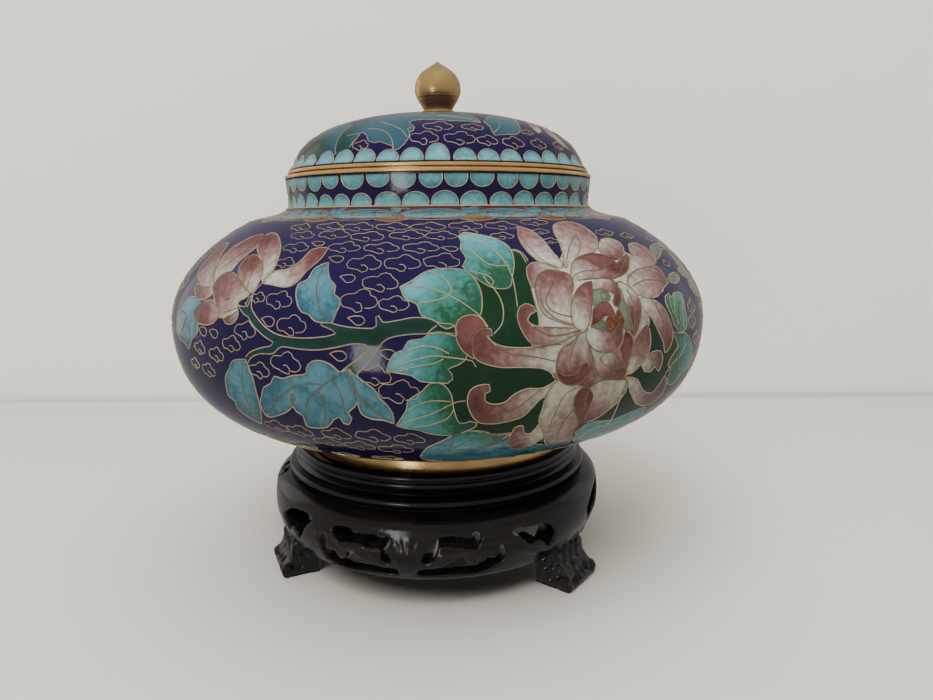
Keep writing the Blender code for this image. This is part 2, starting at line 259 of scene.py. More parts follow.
def makeSurface(profile, spread, shift=0.0, dome=False):
    lengths = [0.0]
    for before, after in zip(profile, profile[1:]):
        lengths.append(lengths[-1] + math.dist(before, after))
    return {"profile": profile, "lengths": lengths, "spread": spread, "shift": shift, "dome": dome}


def chart(surface, angle, v):
    if surface["dome"]:
        reach = surface["lengths"][-1] - v
        return Vector((reach * math.sin(angle), -reach * math.cos(angle)))
    return Vector((angle * surface["spread"], v))


def unchart(surface, spot):
    if surface["dome"]:
        return math.atan2(spot[0], -spot[1]), surface["lengths"][-1] - math.hypot(*spot)
    return spot[0] / surface["spread"], spot[1]


def onSurface(surface, spot, lift=0.0):
    angle, v = unchart(surface, spot)
    lengths = surface["lengths"]
    v = min(max(v, 0.0), lengths[-1] - 1e-7)
    index = min(bisect_right(lengths, v) - 1, len(lengths) - 2)
    before, after = surface["profile"][index : index + 2]
    share = (v - lengths[index]) / (lengths[index + 1] - lengths[index])
    along = Vector((after[0] - before[0], after[1] - before[1])).normalized()
    radius = before[0] + share * (after[0] - before[0]) + along.y * lift
    height = before[1] + share * (after[1] - before[1]) - along.x * lift
    return Vector((radius * math.sin(angle) + surface["shift"], -radius * math.cos(angle), height))


# A pixel outside the outline moves by this share towards the jar's middle until it meets the surface.
search = {"x": 455.0, "y": 345.0, "share": 0.006, "tries": 60}


def hitSurface(surface, x, y):
    # The place on the surface that a pixel of the photograph shows, or the nearest one inside its outline.
    profile = surface["profile"]
    lengths = surface["lengths"]
    origin = view["place"] - Vector((surface["shift"], 0, 0))
    middleX, middleY = view["width"] / 2, view["height"] / 2
    for _ in range(search["tries"]):
        across = (x - middleX) / view["focal"]
        up = (middleY - y) / view["focal"]
        ray = viewTurn @ Vector((across, up, -1.0))
        best = None
        for index in range(len(profile) - 1):
            (r0, z0), (r1, z1) = profile[index : index + 2]
            if abs(z1 - z0) < 1e-9:
                continue
            slope = (r1 - r0) / (z1 - z0)
            base = r0 + slope * (origin.z - z0)
            a = ray.x**2 + ray.y**2 - (slope * ray.z) ** 2
            b = 2.0 * (origin.x * ray.x + origin.y * ray.y - base * slope * ray.z)
            c = origin.x**2 + origin.y**2 - base**2
            inner = b * b - 4.0 * a * c
            if inner < 0.0:
                continue
            for sign in (-1.0, 1.0):
                reach = (-b + sign * math.sqrt(inner)) / (2.0 * a)
                height = origin.z + reach * ray.z
                if reach > 0 and min(z0, z1) <= height <= max(z0, z1) and (best is None or reach < best[0]):
                    share = (height - z0) / (z1 - z0)
                    best = (reach, lengths[index] + share * (lengths[index + 1] - lengths[index]))
        if best:
            spot = origin + ray * best[0]
            return chart(surface, math.atan2(spot.x, -spot.y), best[1])
        x += (search["x"] - x) * search["share"]
        y += (search["y"] - y) * search["share"]
    return None


def smoothLine(points, closed, step):
    # Catmull-Rom through the points, with a corner where a point has a third number.
    count = len(points)
    spans = count if closed else count - 1
    line = []
    for index in range(spans):
        here, after = points[index], points[(index + 1) % count]
        before = points[index - 1] if (closed or index) else here
        beyond = points[(index + 2) % count] if (closed or index + 2 < count) else after
        if len(here) > 2:
            before = here
        if len(after) > 2:
            beyond = after
        p0, p1, p2, p3 = (Vector(point[:2]) for point in (before, here, after, beyond))
        pieces = max(1, round((p2 - p1).length / step))
        for piece in range(pieces):
            t = piece / pieces
            square = (2 * p0 - 5 * p1 + 4 * p2 - p3) * t**2
            cube = (3 * p1 - p0 - 3 * p2 + p3) * t**3
            line.append(0.5 * ((2 * p1) + (p2 - p0) * t + square + cube))
    if not closed:
        line.append(Vector(points[-1][:2]))
    return line


def inside(point, outline, box):
    x, y = point
    if not (box[0] <= x <= box[2] and box[1] <= y <= box[3]):
        return False
    found = False
    before = outline[-1]
    for after in outline:
        if (after[1] > y) != (before[1] > y):
            if x < (before[0] - after[0]) * (y - after[1]) / (before[1] - after[1]) + after[0]:
                found = not found
        before = after
    return found


def boxOf(outline):
    xs = [point[0] for point in outline]
    ys = [point[1] for point in outline]
    return min(xs), min(ys), max(xs), max(ys)


# How far the painted shade beside a wire reaches into the enamel, and the sheet's height over the wall and
# its thickness.
sheetSizes = {"edge": 0.0013, "lift": 0.00008, "depth": 0.0003}


def makeInlay(name, surface, cells, finishes, grid=0.0022):
    # One sheet of enamel: every triangle belongs to the last drawn cell that covers its middle.
    points, rings = [], []
    for cell in cells:
        start = len(points)
        points += [Vector(point) for point in cell["outline"]]
        rings.append(list(range(start, len(points))))
    low = [min(cell["box"][side] for cell in cells) for side in (0, 1)]
    high = [max(cell["box"][side + 2] for cell in cells) for side in (0, 1)]
    across = int((high[0] - low[0]) / grid)
    up = int((high[1] - low[1]) / grid)
    for column in range(across + 1):
        for row in range(up + 1):
            spot = Vector((low[0] + (column + 0.5 * (row % 2)) * grid, low[1] + row * grid))
            if any(inside(spot, cell["outline"], cell["box"]) for cell in cells):
                points.append(spot)
    corners, _, faces, _, _, _ = delaunay_2d_cdt(points, [], rings, 0, 1e-6)
    work = bmesh.new()
    tint = work.loops.layers.float.new("tint")
    # edge holds how near a wire each corner lies, for the painted shade beside the wires
    edge = work.loops.layers.float.new("edge")
    verts = [work.verts.new(onSurface(surface, spot, sheetSizes["lift"])) for spot in corners]
    for face in faces:
        middle = sum((corners[corner] for corner in face), Vector((0, 0))) / len(face)
        cell = next((item for item in reversed(cells) if inside(middle, item["outline"], item["box"])), None)
        if cell is None:
            continue
        made = work.faces.new([verts[corner] for corner in face])
        made.material_index = cell["finish"]
        axis = cell["dark"] - cell["pale"]
        for corner, loop in zip(face, made.loops):
            spot = corners[corner]
            share = (spot - cell["pale"]).dot(axis) / max(axis.length_squared, 1e-12)
            loop[edge] = 1.0 - min(cell["tree"].find((*spot, 0.0))[2] / sheetSizes["edge"], 1.0)
            loop[tint] = min(max(share, 0.0), 1.0)
    bmesh.ops.delete(work, geom=[vert for vert in work.verts if not vert.link_faces], context="VERTS")
    bmesh.ops.recalc_face_normals(work, faces=work.faces)
    bmesh.ops.solidify(work, geom=work.faces[:], thickness=sheetSizes["depth"])
    bmesh.ops.recalc_face_normals(work, faces=work.faces)
    return keepObject(name, meshOf(name, work), finishes)


# Radii of the wires and of the line round the neck.
wireSizes = {"drawing": 0.00016, "clouds": 0.00012, "arches": 0.00014, "scallops": 0.00009, "line": 0.00033}


def makeWires(name, surface, strokes, finish, radius=wireSizes["drawing"], lift=0.00003):
    curve = bpy.data.curves.new(name, "CURVE")
    curve.dimensions = "3D"
    curve.bevel_depth = radius
    curve.bevel_resolution = 0
    curve.use_fill_caps = True
    for stroke in strokes:
        if len(stroke) < 2:
            continue
        closed = (Vector(stroke[0]) - Vector(stroke[-1])).length < 1e-6 and len(stroke) > 3
        line = stroke[:-1] if closed else stroke
        spline = curve.splines.new("POLY")
        spline.points.add(len(line) - 1)
        for point, spot in zip(spline.points, line):
            point.co = (*onSurface(surface, spot, lift), 1.0)
        spline.use_cyclic_u = closed
    return keepObject(name, applied(addItem(name, curve)), [finish])


def cell(finish, outline, dark=None, pale=None):
    outline = [Vector(point) for point in outline]
    middle = sum(outline, Vector((0, 0))) / len(outline)
    tree = KDTree(len(outline))
    for index, point in enumerate(outline):
        tree.insert((*point, 0.0), index)
    tree.balance()
    return {
        "tree": tree,
        "finish": finish,
        "outline": outline,
        "box": boxOf(outline),
        "dark": Vector(dark) if dark is not None else middle + Vector((0, 1e-3)),
        "pale": Vector(pale) if pale is not None else middle + Vector((0, -1e-3)),
    }


def covered(point, cells):
    return any(inside(point, other["outline"], other["box"]) for other in cells)


def visibleParts(line, cells):
    # The stretches of a wire that no later cell covers.
    parts, part = [], []
    for point in line:
        if covered(point, cells):
            if len(part) > 1:
                parts.append(part)
            part = []
        else:
            part.append(point)
    if len(part) > 1:
        parts.append(part)
    return parts


# Finishes


def addNode(tree, kind, x, y, sockets=None, **values):
    node = tree.nodes.new(kind)
    node.location = (x, y)
    for name, value in values.items():
        setattr(node, name, value)
    for name, value in (sockets or {}).items():
        node.inputs[name].default_value = value
    return node


def rampNode(tree, x, y, stops):
    node = addNode(tree, "ShaderNodeValToRGB", x, y)
    elements = node.color_ramp.elements
    for end in (0, 1):
        elements[end].position = stops[-end][0]
        elements[end].color = (*stops[-end][1], 1)
    for place, colour in stops[1:-1]:
        elements.new(place).color = (*colour, 1)
    return node


def joinUp(tree, *links):
    for start, output, end, entry in links:
        tree.links.new(start.outputs[output], end.inputs[entry])


def grainGroup():
    # Fired enamel: soft clouds, small grains and pinholes that change over the surface. Edge is painted shade
    # along the wires, broken up by the grains.
    tree = bpy.data.node_groups.new("firedGrain", "ShaderNodeTree")
    for name, scale in (("Cloud Scale", 130.0), ("Grain Scale", 900.0)):
        tree.interface.new_socket(name, in_out="INPUT", socket_type="NodeSocketFloat").default_value = scale
    for name in ("Cloud", "Grain", "Pits", "Edge"):
        tree.interface.new_socket(name, in_out="OUTPUT", socket_type="NodeSocketFloat")
    start = addNode(tree, "NodeGroupInput", -900, 0)
    end = addNode(tree, "NodeGroupOutput", 500, 0)
    place = addNode(tree, "ShaderNodeTexCoord", -900, 250)
    cloud = addNode(tree, "ShaderNodeTexNoise", -500, 300, {"Detail": 4.0})
    grain = addNode(tree, "ShaderNodeTexNoise", -500, 0, {"Detail": 3.0})
    pits = addNode(tree, "ShaderNodeTexVoronoi", -500, -300)
    pitEdge = addNode(
        tree, "ShaderNodeMapRange", -200, -300,
        {"From Min": 0.06, "From Max": 0.16, "To Min": 1.0, "To Max": 0.0},
    )
    rare = addNode(tree, "ShaderNodeTexNoise", -500, -550, {"Scale": 260.0})
    rareEdge = addNode(tree, "ShaderNodeMapRange", -200, -550, {"From Min": 0.56, "From Max": 0.62})
    both = addNode(tree, "ShaderNodeMath", 50, -400, operation="MULTIPLY")
    # painted shade along the wires, mottled by the grains
    wireShadeMask = addNode(tree, "ShaderNodeAttribute", -500, -800, attribute_name="edge")
    fade = addNode(tree, "ShaderNodeMapRange", -200, -800, {"From Min": 0.15})
    mottledWireShade = addNode(tree, "ShaderNodeMath", 50, -700, operation="MULTIPLY")
    joinUp(
        tree,
        (wireShadeMask, "Fac", fade, "Value"),
        (fade, "Result", mottledWireShade, 0),
        (grain, "Fac", mottledWireShade, 1),
        (mottledWireShade, "Value", end, "Edge"),
        (place, "Object", cloud, "Vector"),
        (place, "Object", grain, "Vector"),
        (place, "Object", pits, "Vector"),
        (place, "Object", rare, "Vector"),
        (start, "Cloud Scale", cloud, "Scale"),
        (start, "Grain Scale", grain, "Scale"),
        (start, "Grain Scale", pits, "Scale"),
        (pits, "Distance", pitEdge, "Value"),
        (rare, "Fac", rareEdge, "Value"),
        (pitEdge, "Result", both, 0),
        (rareEdge, "Result", both, 1),
        (cloud, "Fac", end, "Cloud"),
        (grain, "Fac", end, "Grain"),
        (both, "Value", end, "Pits"),
    )
    return tree


def startMaterial(name):
    material = bpy.data.materials.new(name)
    material.use_nodes = True
    return material, material.node_tree, material.node_tree.nodes["Principled BSDF"]


def enamel(
    name, stops, tintShare, cloudShare, grainShare, cloudScale=130.0, grainScale=900.0,
    pitColour=(0.01, 0.01, 0.02), wireShadeColour=(0.01, 0.03, 0.05),
):
    # Colour runs along the ramp with the cell's own tint, stirred by the fired grain, and turns to a painted
    # shade colour beside the wires.
    material, tree, shader = startMaterial(name)
    shader.inputs["Roughness"].default_value = 0.10
    shader.inputs["IOR"].default_value = 1.38
    grain = addNode(
        tree, "ShaderNodeGroup", -1100, 0,
        {"Cloud Scale": cloudScale, "Grain Scale": grainScale}, node_tree=glazeGrain,
    )
    tint = addNode(tree, "ShaderNodeAttribute", -1100, 300, attribute_name="tint")
    cloudPart = addNode(
        tree, "ShaderNodeMath", -850, 100,
        {1: cloudShare, 2: -0.5 * (cloudShare + grainShare)}, operation="MULTIPLY_ADD",
    )
    grainPart = addNode(tree, "ShaderNodeMath", -650, 50, {1: grainShare}, operation="MULTIPLY_ADD")
    total = addNode(
        tree, "ShaderNodeMath", -450, 150,
        {1: tintShare}, operation="MULTIPLY_ADD", use_clamp=True,
    )
    ramp = rampNode(tree, -250, 200, stops)
    pitted = addNode(tree, "ShaderNodeMix", 50, 200, {"B": (*pitColour, 1)}, data_type="RGBA")
    wireShaded = addNode(tree, "ShaderNodeMix", -100, 400, {"B": (*wireShadeColour, 1)}, data_type="RGBA")
    bump = addNode(tree, "ShaderNodeBump", 50, -200, {"Strength": 0.12, "Distance": 0.0002})
    joinUp(
        tree,
        (grain, "Cloud", cloudPart, 0),
        (grain, "Grain", grainPart, 0),
        (cloudPart, "Value", grainPart, 2),
        (tint, "Fac", total, 0),
        (grainPart, "Value", total, 2),
        (total, "Value", ramp, "Fac"),
        (grain, "Pits", pitted, "Factor"),
        (grain, "Edge", wireShaded, "Factor"),
        (ramp, "Color", wireShaded, "A"),
        (wireShaded, "Result", pitted, "A"),
        (pitted, "Result", shader, "Base Color"),
        (grainPart, "Value", bump, "Height"),
        (bump, "Normal", shader, "Normal"),
    )
    return material


def brass(name, colour, roughness, turning, rubbed, metallic):
    # Gilt brass with fine turning lines round it and duller patches.
    material, tree, shader = startMaterial(name)
    shader.inputs["Metallic"].default_value = metallic
    place = addNode(tree, "ShaderNodeTexCoord", -1100, 0)
    stretch = addNode(tree, "ShaderNodeMapping", -900, -150, {"Scale": (4.0, 4.0, turning)})
    lines = addNode(tree, "ShaderNodeTexNoise", -700, -150, {"Scale": 1.0, "Detail": 5.0})
    patches = addNode(tree, "ShaderNodeTexNoise", -700, 150, {"Scale": 90.0, "Detail": 5.0})
    worn = tuple(part * (1 - rubbed) for part in colour)
    tone = rampNode(tree, -450, 200, [(0.3, worn), (0.65, colour)])
    dull = addNode(
        tree, "ShaderNodeMapRange", -450, -50,
        {"From Min": 0.3, "From Max": 0.7, "To Min": roughness + 0.12, "To Max": roughness},
    )
    bump = addNode(tree, "ShaderNodeBump", -250, -250, {"Strength": 0.25, "Distance": 0.0001})
    joinUp(
        tree,
        (place, "Object", stretch, "Vector"),
        (stretch, "Vector", lines, "Vector"),
        (place, "Object", patches, "Vector"),
        (patches, "Fac", tone, "Fac"),
        (patches, "Fac", dull, "Value"),
        (tone, "Color", shader, "Base Color"),
        (dull, "Result", shader, "Roughness"),
        (lines, "Fac", bump, "Height"),
        (bump, "Normal", shader, "Normal"),
    )
    return material


def lacquer(name):
    # Black-brown lacquer over carved wood: grain that runs round the stand and brush marks.
    material, tree, shader = startMaterial(name)
    shader.inputs["IOR"].default_value = 1.48
    place = addNode(tree, "ShaderNodeTexCoord", -1100, 0)
    stretch = addNode(tree, "ShaderNodeMapping", -900, 100, {"Scale": (60.0, 60.0, 700.0)})
    grain = addNode(tree, "ShaderNodeTexNoise", -700, 100, {"Scale": 1.0, "Detail": 6.0})
    blotch = addNode(tree, "ShaderNodeTexNoise", -700, -150, {"Scale": 160.0, "Detail": 4.0})
    tones = [(0.35, (0.0030, 0.0027, 0.0023)), (0.72, (0.0120, 0.0090, 0.0072))]
    tone = rampNode(tree, -450, 200, tones)
    shine = addNode(tree, "ShaderNodeMapRange", -450, -100, {"To Min": 0.12, "To Max": 0.30})
    bump = addNode(tree, "ShaderNodeBump", -250, -250, {"Strength": 0.35, "Distance": 0.0003})
    joinUp(
        tree,
        (place, "Object", stretch, "Vector"),
        (stretch, "Vector", grain, "Vector"),
        (place, "Object", blotch, "Vector"),
        (grain, "Fac", tone, "Fac"),
        (blotch, "Fac", shine, "Value"),
        (tone, "Color", shader, "Base Color"),
        (shine, "Result", shader, "Roughness"),
        (blotch, "Fac", bump, "Height"),
        (bump, "Normal", shader, "Normal"),
    )
    return material


glazeGrain = grainGroup()
cobalt = enamel(
    "cobaltEnamel",
    [(0.0, (0.0060, 0.0026, 0.027)), (0.5, (0.0105, 0.0048, 0.046)), (1.0, (0.0165, 0.0090, 0.072))],
    0.0, 0.9, 0.7,
)
innerEnamel = enamel("innerEnamel", [(0.0, (0.02, 0.10, 0.14)), (1.0, (0.06, 0.24, 0.29))], 0.0, 0.8, 0.6)
fieldGreen = enamel(
    "fieldEnamel", [(0.0, (0.004, 0.018, 0.008)), (1.0, (0.012, 0.050, 0.025))], 0.0, 1.1, 0.7,
)
turquoise = enamel(
    "leafEnamel",
    [
        (0.0, (0.085, 0.245, 0.27)), (0.25, (0.045, 0.165, 0.185)), (0.48, (0.025, 0.11, 0.085)),
        (0.6, (0.012, 0.056, 0.028)), (1.0, (0.005, 0.026, 0.012)),
    ],
    0.9, 0.5, 0.6, wireShadeColour=(0.012, 0.06, 0.06),
)
tealBlue = enamel(
    "tealEnamel",
    [
        (0.0, (0.058, 0.145, 0.180)), (0.4, (0.021, 0.076, 0.105)), (0.7, (0.0098, 0.047, 0.076)),
        (1.0, (0.0045, 0.024, 0.053)),
    ],
    0.5, 1.2, 0.9, 170.0, wireShadeColour=(0.008, 0.035, 0.05),
)
petalPink = enamel(
    "petalEnamel",
    [
        (0.0, (0.31, 0.31, 0.255)), (0.16, (0.25, 0.225, 0.195)), (0.38, (0.18, 0.118, 0.112)),
        (0.68, (0.100, 0.040, 0.040)), (1.0, (0.055, 0.014, 0.015)),
    ],
    1.0, 0.5, 0.8, 170.0, 700.0, pitColour=(0.09, 0.05, 0.09), wireShadeColour=(0.085, 0.055, 0.045),
)
petalMaroon = enamel(
    "maroonEnamel", [(0.0, (0.13, 0.052, 0.05)), (1.0, (0.045, 0.010, 0.011))], 0.5, 0.8, 0.7,
    wireShadeColour=(0.03, 0.008, 0.008),
)
heartBrown = enamel(
    "heartEnamel", [(0.0, (0.095, 0.033, 0.016)), (1.0, (0.035, 0.012, 0.008))], 0.2, 0.5, 0.6,
    wireShadeColour=(0.03, 0.012, 0.006),
)
paleGreen = enamel(
    "paleLeafEnamel", [(0.0, (0.13, 0.15, 0.11)), (1.0, (0.030, 0.058, 0.036))], 0.6, 1.0, 0.7,
    wireShadeColour=(0.03, 0.04, 0.03),
)
beadBlue = enamel(
    "beadEnamel",
    [(0.0, (0.100, 0.262, 0.288)), (0.5, (0.053, 0.162, 0.192)), (1.0, (0.012, 0.048, 0.10))],
    0.3, 1.0, 1.0, 260.0, 1100.0, wireShadeColour=(0.012, 0.05, 0.07),
)
lidTeal = enamel(
    "lidLeafEnamel",
    [
        (0.0, (0.018, 0.053, 0.077)), (0.35, (0.0108, 0.039, 0.054)), (0.55, (0.0076, 0.032, 0.030)),
        (0.72, (0.006, 0.026, 0.016)), (1.0, (0.004, 0.017, 0.008)),
    ],
    0.9, 0.6, 0.7, 150.0, wireShadeColour=(0.008, 0.035, 0.05),
)
orange = enamel(
    "amberEnamel", [(0.0, (0.10, 0.042, 0.015)), (1.0, (0.17, 0.080, 0.030))], 0.2, 0.8, 0.5,
    wireShadeColour=(0.06, 0.02, 0.01),
)
wine = enamel(
    "scallopEnamel", [(0.0, (0.050, 0.018, 0.020)), (1.0, (0.022, 0.007, 0.010))], 0.2, 0.8, 0.6,
    wireShadeColour=(0.02, 0.008, 0.012),
)
rimBrass = brass("turnedBrass", (0.87, 0.55, 0.23), 0.25, 3500.0, 0.3, 0.8)
knobBrass = brass("knobBrass", (0.95, 0.64, 0.26), 0.22, 2600.0, 0.45, 0.9)
wireGold = brass("giltWire", (0.82, 0.65, 0.42), 0.38, 200.0, 0.2, 0.86)
# a darker gold for the wires inside the flowers, painted to stand for the dark reflection they show
wireGoldPaintedDark = brass("giltWirePaintedDark", (0.30, 0.22, 0.125), 0.40, 200.0, 0.2, 0.8)
wood = lacquer("blackLacquer")
print("finishes made")

# Turned pieces: the jar, its rims, the lid, the knob and the stand's disc


def makeJarBody():
    outside = bellyProfile(34, 26, 10)
    within = moveInward(bellyProfile(24, 18, 8), jar["wall"])
    within[-1] = (mouthRadius - jar["wall"], jarTopZ)
    floorZ = jarFootZ + jar["baseDome"] + jar["wall"]
    profile = [(0.0, jarFootZ + jar["baseDome"])] + outside + within[:0:-1]
    profile += [(jar["footRadius"] - jar["wall"], floorZ), (0.0, floorZ)]
    limit = jar["wall"] * 0.5

    def innerWall(face):
        spot = face.calc_center_median()
        reach, high = spot.xy.length, spot.z > jarFootZ + limit
        side = face.normal.xy.dot(spot.xy) < 0 and reach < jar["innerReach"] and high
        return side or (reach < jar["footRadius"] - limit and high)

    enamels = [cobalt, innerEnamel]
    item = turn("jar_enamel_body", profile, jar["steps"], False, enamels, "cobalt_enamel", inside=innerWall)
    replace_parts(item, "jar_body")


rims = {
    "steps": 160,
    "corner": 4,
    "mouthWidth": 0.0032,
    "mouthRound": 0.00028,
    "footWidth": 0.0018,
    "footRound": 0.0004,
    "lidTall": 0.0009,
    "lidRound": 0.0003,
    "collarRoom": 0.0005,
    "collarWall": 0.0012,
    "collarRound": 0.0002,
}


def roundedRing(inner, outer, low, high, rounding):
    ring = arc((inner + rounding, low + rounding), rounding, 180, 270, rims["corner"])
    ring += arc((outer - rounding, low + rounding), rounding, 270, 360, rims["corner"])
    ring += arc((outer - rounding, high - rounding), rounding, 0, 90, rims["corner"])
    ring += arc((inner + rounding, high - rounding), rounding, 90, 180, rims["corner"])
    return ring


def makeRims():
    low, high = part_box("mouth_rim")
    bore = high.x - rims["mouthWidth"]
    ring = roundedRing(bore, high.x, low.z, high.z, rims["mouthRound"])
    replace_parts(turn("mouth_ring", ring, rims["steps"], True, [rimBrass], "gilt_brass"), "mouth_rim")
    low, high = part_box("foot_ring")
    ring = roundedRing(high.x - rims["footWidth"], high.x, low.z, high.z, rims["footRound"])
    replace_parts(turn("foot_band", ring, rims["steps"], True, [rimBrass], "gilt_brass"), "foot_ring")
    low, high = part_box("lid_rim")
    edge = high.z - rims["lidTall"]
    rounding = rims["lidRound"]
    reach = high.x - lid["rimStep"]
    outer = bore - rims["collarRoom"]
    wall = outer - rims["collarWall"]
    slope = rims["collarRound"]
    ring = [(wall, low.z), (outer - slope, low.z), (outer, low.z + slope), (outer, edge)]
    ring += arc((reach - rounding, edge + rounding), rounding, 270, 360, rims["corner"])
    ring += arc((reach - rounding, high.z - rounding), rounding, 0, 90, rims["corner"])
    ring += [(wall, high.z)]
    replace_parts(turn("lid_edge_ring", ring, rims["steps"], True, [rimBrass], "gilt_brass"), "lid_rim")


def makeLid():
    outside = [(lidFootRadius, lidFootZ)] + crownProfile(0.0, 44)
    within = crownProfile(lid["wall"], 30) + [(lidFootRadius - lid["wall"], lidFootZ)]
    profile = outside + [(radius, height) for radius, height in within[-2::-1]] + [within[-1]]

    def innerWall(face):
        spot = face.calc_center_median()
        return face.normal.z < -0.02 and spot.z > lidFootZ + 0.0001

    enamels = [cobalt, innerEnamel]
    item = turn("lid_enamel_dome", profile, lid["steps"], True, enamels, "cobalt_enamel", inside=innerWall)
    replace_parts(item, "lid_dome")


knob = {
    "collar": 0.0052,
    "collarHeight": 0.0014,
    "neck": 0.0044,
    "radius": 0.0072,
    "spigot": 0.0020,
    "widest": 0.4,
    "grooves": (5, 6, 10, 14, 15, 19, 22),
    "groove": 0.00005,
}


def makeKnob():
    low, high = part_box("finial")
    baseZ = lidTopZ + 0.0003
    tipZ = high.z
    collarTop = baseZ + knob["collarHeight"]
    bulb = tipZ - collarTop
    radius = knob["radius"]
    widestZ = collarTop + knob["widest"] * bulb
    lower = bezier(
        (knob["neck"], collarTop),
        (0.74 * radius, collarTop + 0.13 * bulb),
        (radius, widestZ - 0.12 * bulb),
        (radius, widestZ),
        26,
    )
    grooved = []
    for index, (across, height) in enumerate(lower):
        # fine steps that the turning tool left on the lower half
        cut = knob["groove"] if index in knob["grooves"] else 0.0
        grooved.append((across - cut, height))
    upper = bezier(
        (radius, widestZ),
        (radius, widestZ + 0.4 * bulb),
        (0.36 * radius, tipZ - 0.16 * bulb),
        (0.0, tipZ),
        26,
    )
    profile = [(0.0, low.z), (knob["spigot"], low.z), (knob["spigot"], baseZ)]
    profile += [(knob["collar"] - 0.0003, baseZ), (knob["collar"], baseZ + 0.0003)]
    profile += arc((knob["collar"] - 0.0004, collarTop - 0.0004), 0.0004, 0, 90, 4)
    profile += grooved + upper + [(0.0, tipZ)]
    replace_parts(turn("onion_knob", profile, 96, False, [knobBrass], "gilt_brass"), "finial")


stand = {
    "shift": -0.0018,
    "panel": -6.3,
    "clearance": 0.0112,
    "apron": 0.0155,
    "shoulder": 0.0036,
    "footRadius": 0.0508,
    "bulge": 0.0542,
    "crest": 0.0537,
    "shoulderTop": 0.0494,
    "bore": 0.0465,
    "legWidth": 0.0160,
    "legInner": 0.0434,
    "ankle": 0.0522,
    "toe": 0.0562,
    "toeHeight": 0.0048,
    "voxel": 0.00055,
    "toeOut": {60.0: 0.0005, 180.0: 0.0, 300.0: -0.0007},
}
apronTopZ = stand["clearance"] + stand["apron"]
standTopZ = apronTopZ + stand["shoulder"]


disc = {
    "band": 0.0493,
    "bandHeight": 0.0034,
    "bandRound": 0.0012,
    "bandMiddle": 0.0017,
    "lip": 0.0468,
    "lipRise": 0.0017,
    "seat": 0.0455,
    "seatDepth": 0.0017,
}


def makeStandDisc():
    low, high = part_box("stand_top")
    band, lip, seat = disc["band"], disc["lip"], disc["seat"]
    rounding = disc["bandRound"]
    bandTop = low.z + disc["bandHeight"]
    lipLow = bandTop + disc["lipRise"]
    middle = lipLow + 0.5 * (high.z - lipLow)
    roll = 0.5 * (high.z - lipLow) * 0.5
    profile = [(0.0, low.z), (band - rounding, low.z)]
    profile += arc((band - rounding, low.z + disc["bandMiddle"]), rounding, -70, 70, 8)
    profile += [(lip - 0.0002, bandTop), (lip + 0.0004, bandTop + 0.0004)]
    profile += [(lip - 0.0001, lipLow - 0.0006), (lip - 0.0009, lipLow)]
    profile += arc((lip - roll, lipLow + roll), roll, -60, 62, 8)
    profile += arc((lip - roll, middle + roll), roll, -62, 80, 8)
    profile += [(seat + 0.0004, high.z - 0.00002), (seat, high.z - 0.0003)]
    profile += [(seat, high.z - disc["seatDepth"]), (0.0, high.z - disc["seatDepth"])]
    item = turn("stand_disc", profile, 160, False, [wood], "black_lacquered_wood", shift=stand["shift"])
    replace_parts(item, "stand_top")


makeCamera()
makeJarBody()
makeRims()
makeLid()
makeKnob()
makeStandDisc()
print("turned pieces made")


# The stand's carved base


def apronProfile():
    bulgeZ = stand["clearance"] + 0.62 * stand["apron"]
    points = bezier(
        (stand["footRadius"], stand["clearance"]),
        (stand["footRadius"] + 0.0016, stand["clearance"] + 0.0026),
        (stand["bulge"], bulgeZ - 0.0034),
        (stand["bulge"], bulgeZ),
        10,
    )
    points += bezier(
        (stand["bulge"], bulgeZ),
        (stand["bulge"], bulgeZ + 0.003),
        (stand["crest"] + 0.0002, apronTopZ - 0.0018),
        (stand["crest"], apronTopZ),
        6,
    )
    points += bezier(
        (stand["crest"], apronTopZ),
        (stand["crest"] - 0.0004, apronTopZ + 0.0015),
        (stand["shoulderTop"] + 0.0022, standTopZ - 0.0003),
        (stand["shoulderTop"], standTopZ),
        8,
    )
    return points + [(stand["shoulderTop"], standTopZ)]


# Openings of the apron as the front panel shows them, in pixels of the photograph.
apronOpenings = [
    [
        (332, 528), (345, 528), (353, 532), (362, 535), (375, 536), (386, 538), (390, 541), (389, 546),
        (386, 552), (388, 558), (391, 563), (385, 563), (380, 559), (381, 551), (377, 548), (368, 548),
        (361, 544), (350, 542), (336, 541),
    ],
    [
        (421, 564), (424, 556), (427, 550), (432, 545), (438, 540), (450, 538), (458, 536), (463, 540),
        (472, 538), (473, 533), (480, 533), (482, 538), (480, 544), (477, 549), (465, 548), (441, 547),
        (437, 552), (434, 560), (427, 564),
    ],
    [
        (319, 541), (320, 536), (324, 535), (325, 546), (328, 550), (334, 550), (336, 555), (341, 559),
        (345, 558), (347, 552), (351, 551), (354, 554), (358, 558), (364, 562), (372, 564), (380, 568),
        (399, 570), (399, 574), (375, 572), (360, 570), (345, 567), (335, 563), (328, 559), (323, 552),
    ],
    [
        (419, 571), (440, 569), (450, 564), (458, 559), (463, 558), (466, 563), (470, 566), (477, 566),
        (480, 560), (485, 558), (492, 559), (498, 556), (500, 550), (500, 545), (504, 545), (507, 550),
        (506, 557), (503, 561), (495, 566), (487, 570), (475, 573), (450, 575), (420, 576),
    ],
    [
        (284, 514), (287, 523), (289, 529), (292, 525), (295, 530), (299, 537), (303, 529), (307, 524),
        (312, 520), (309, 516), (300, 511), (290, 509),
    ],
    [
        (513, 532), (514, 529), (530, 528), (545, 524), (553, 527), (556, 534), (553, 541), (548, 546),
        (545, 541), (538, 540), (531, 544), (524, 539), (517, 537),
    ],
]


def standPoint(degrees, radius, height):
    angle = math.radians(degrees)
    return Vector((radius * math.sin(angle), -radius * math.cos(angle), height))


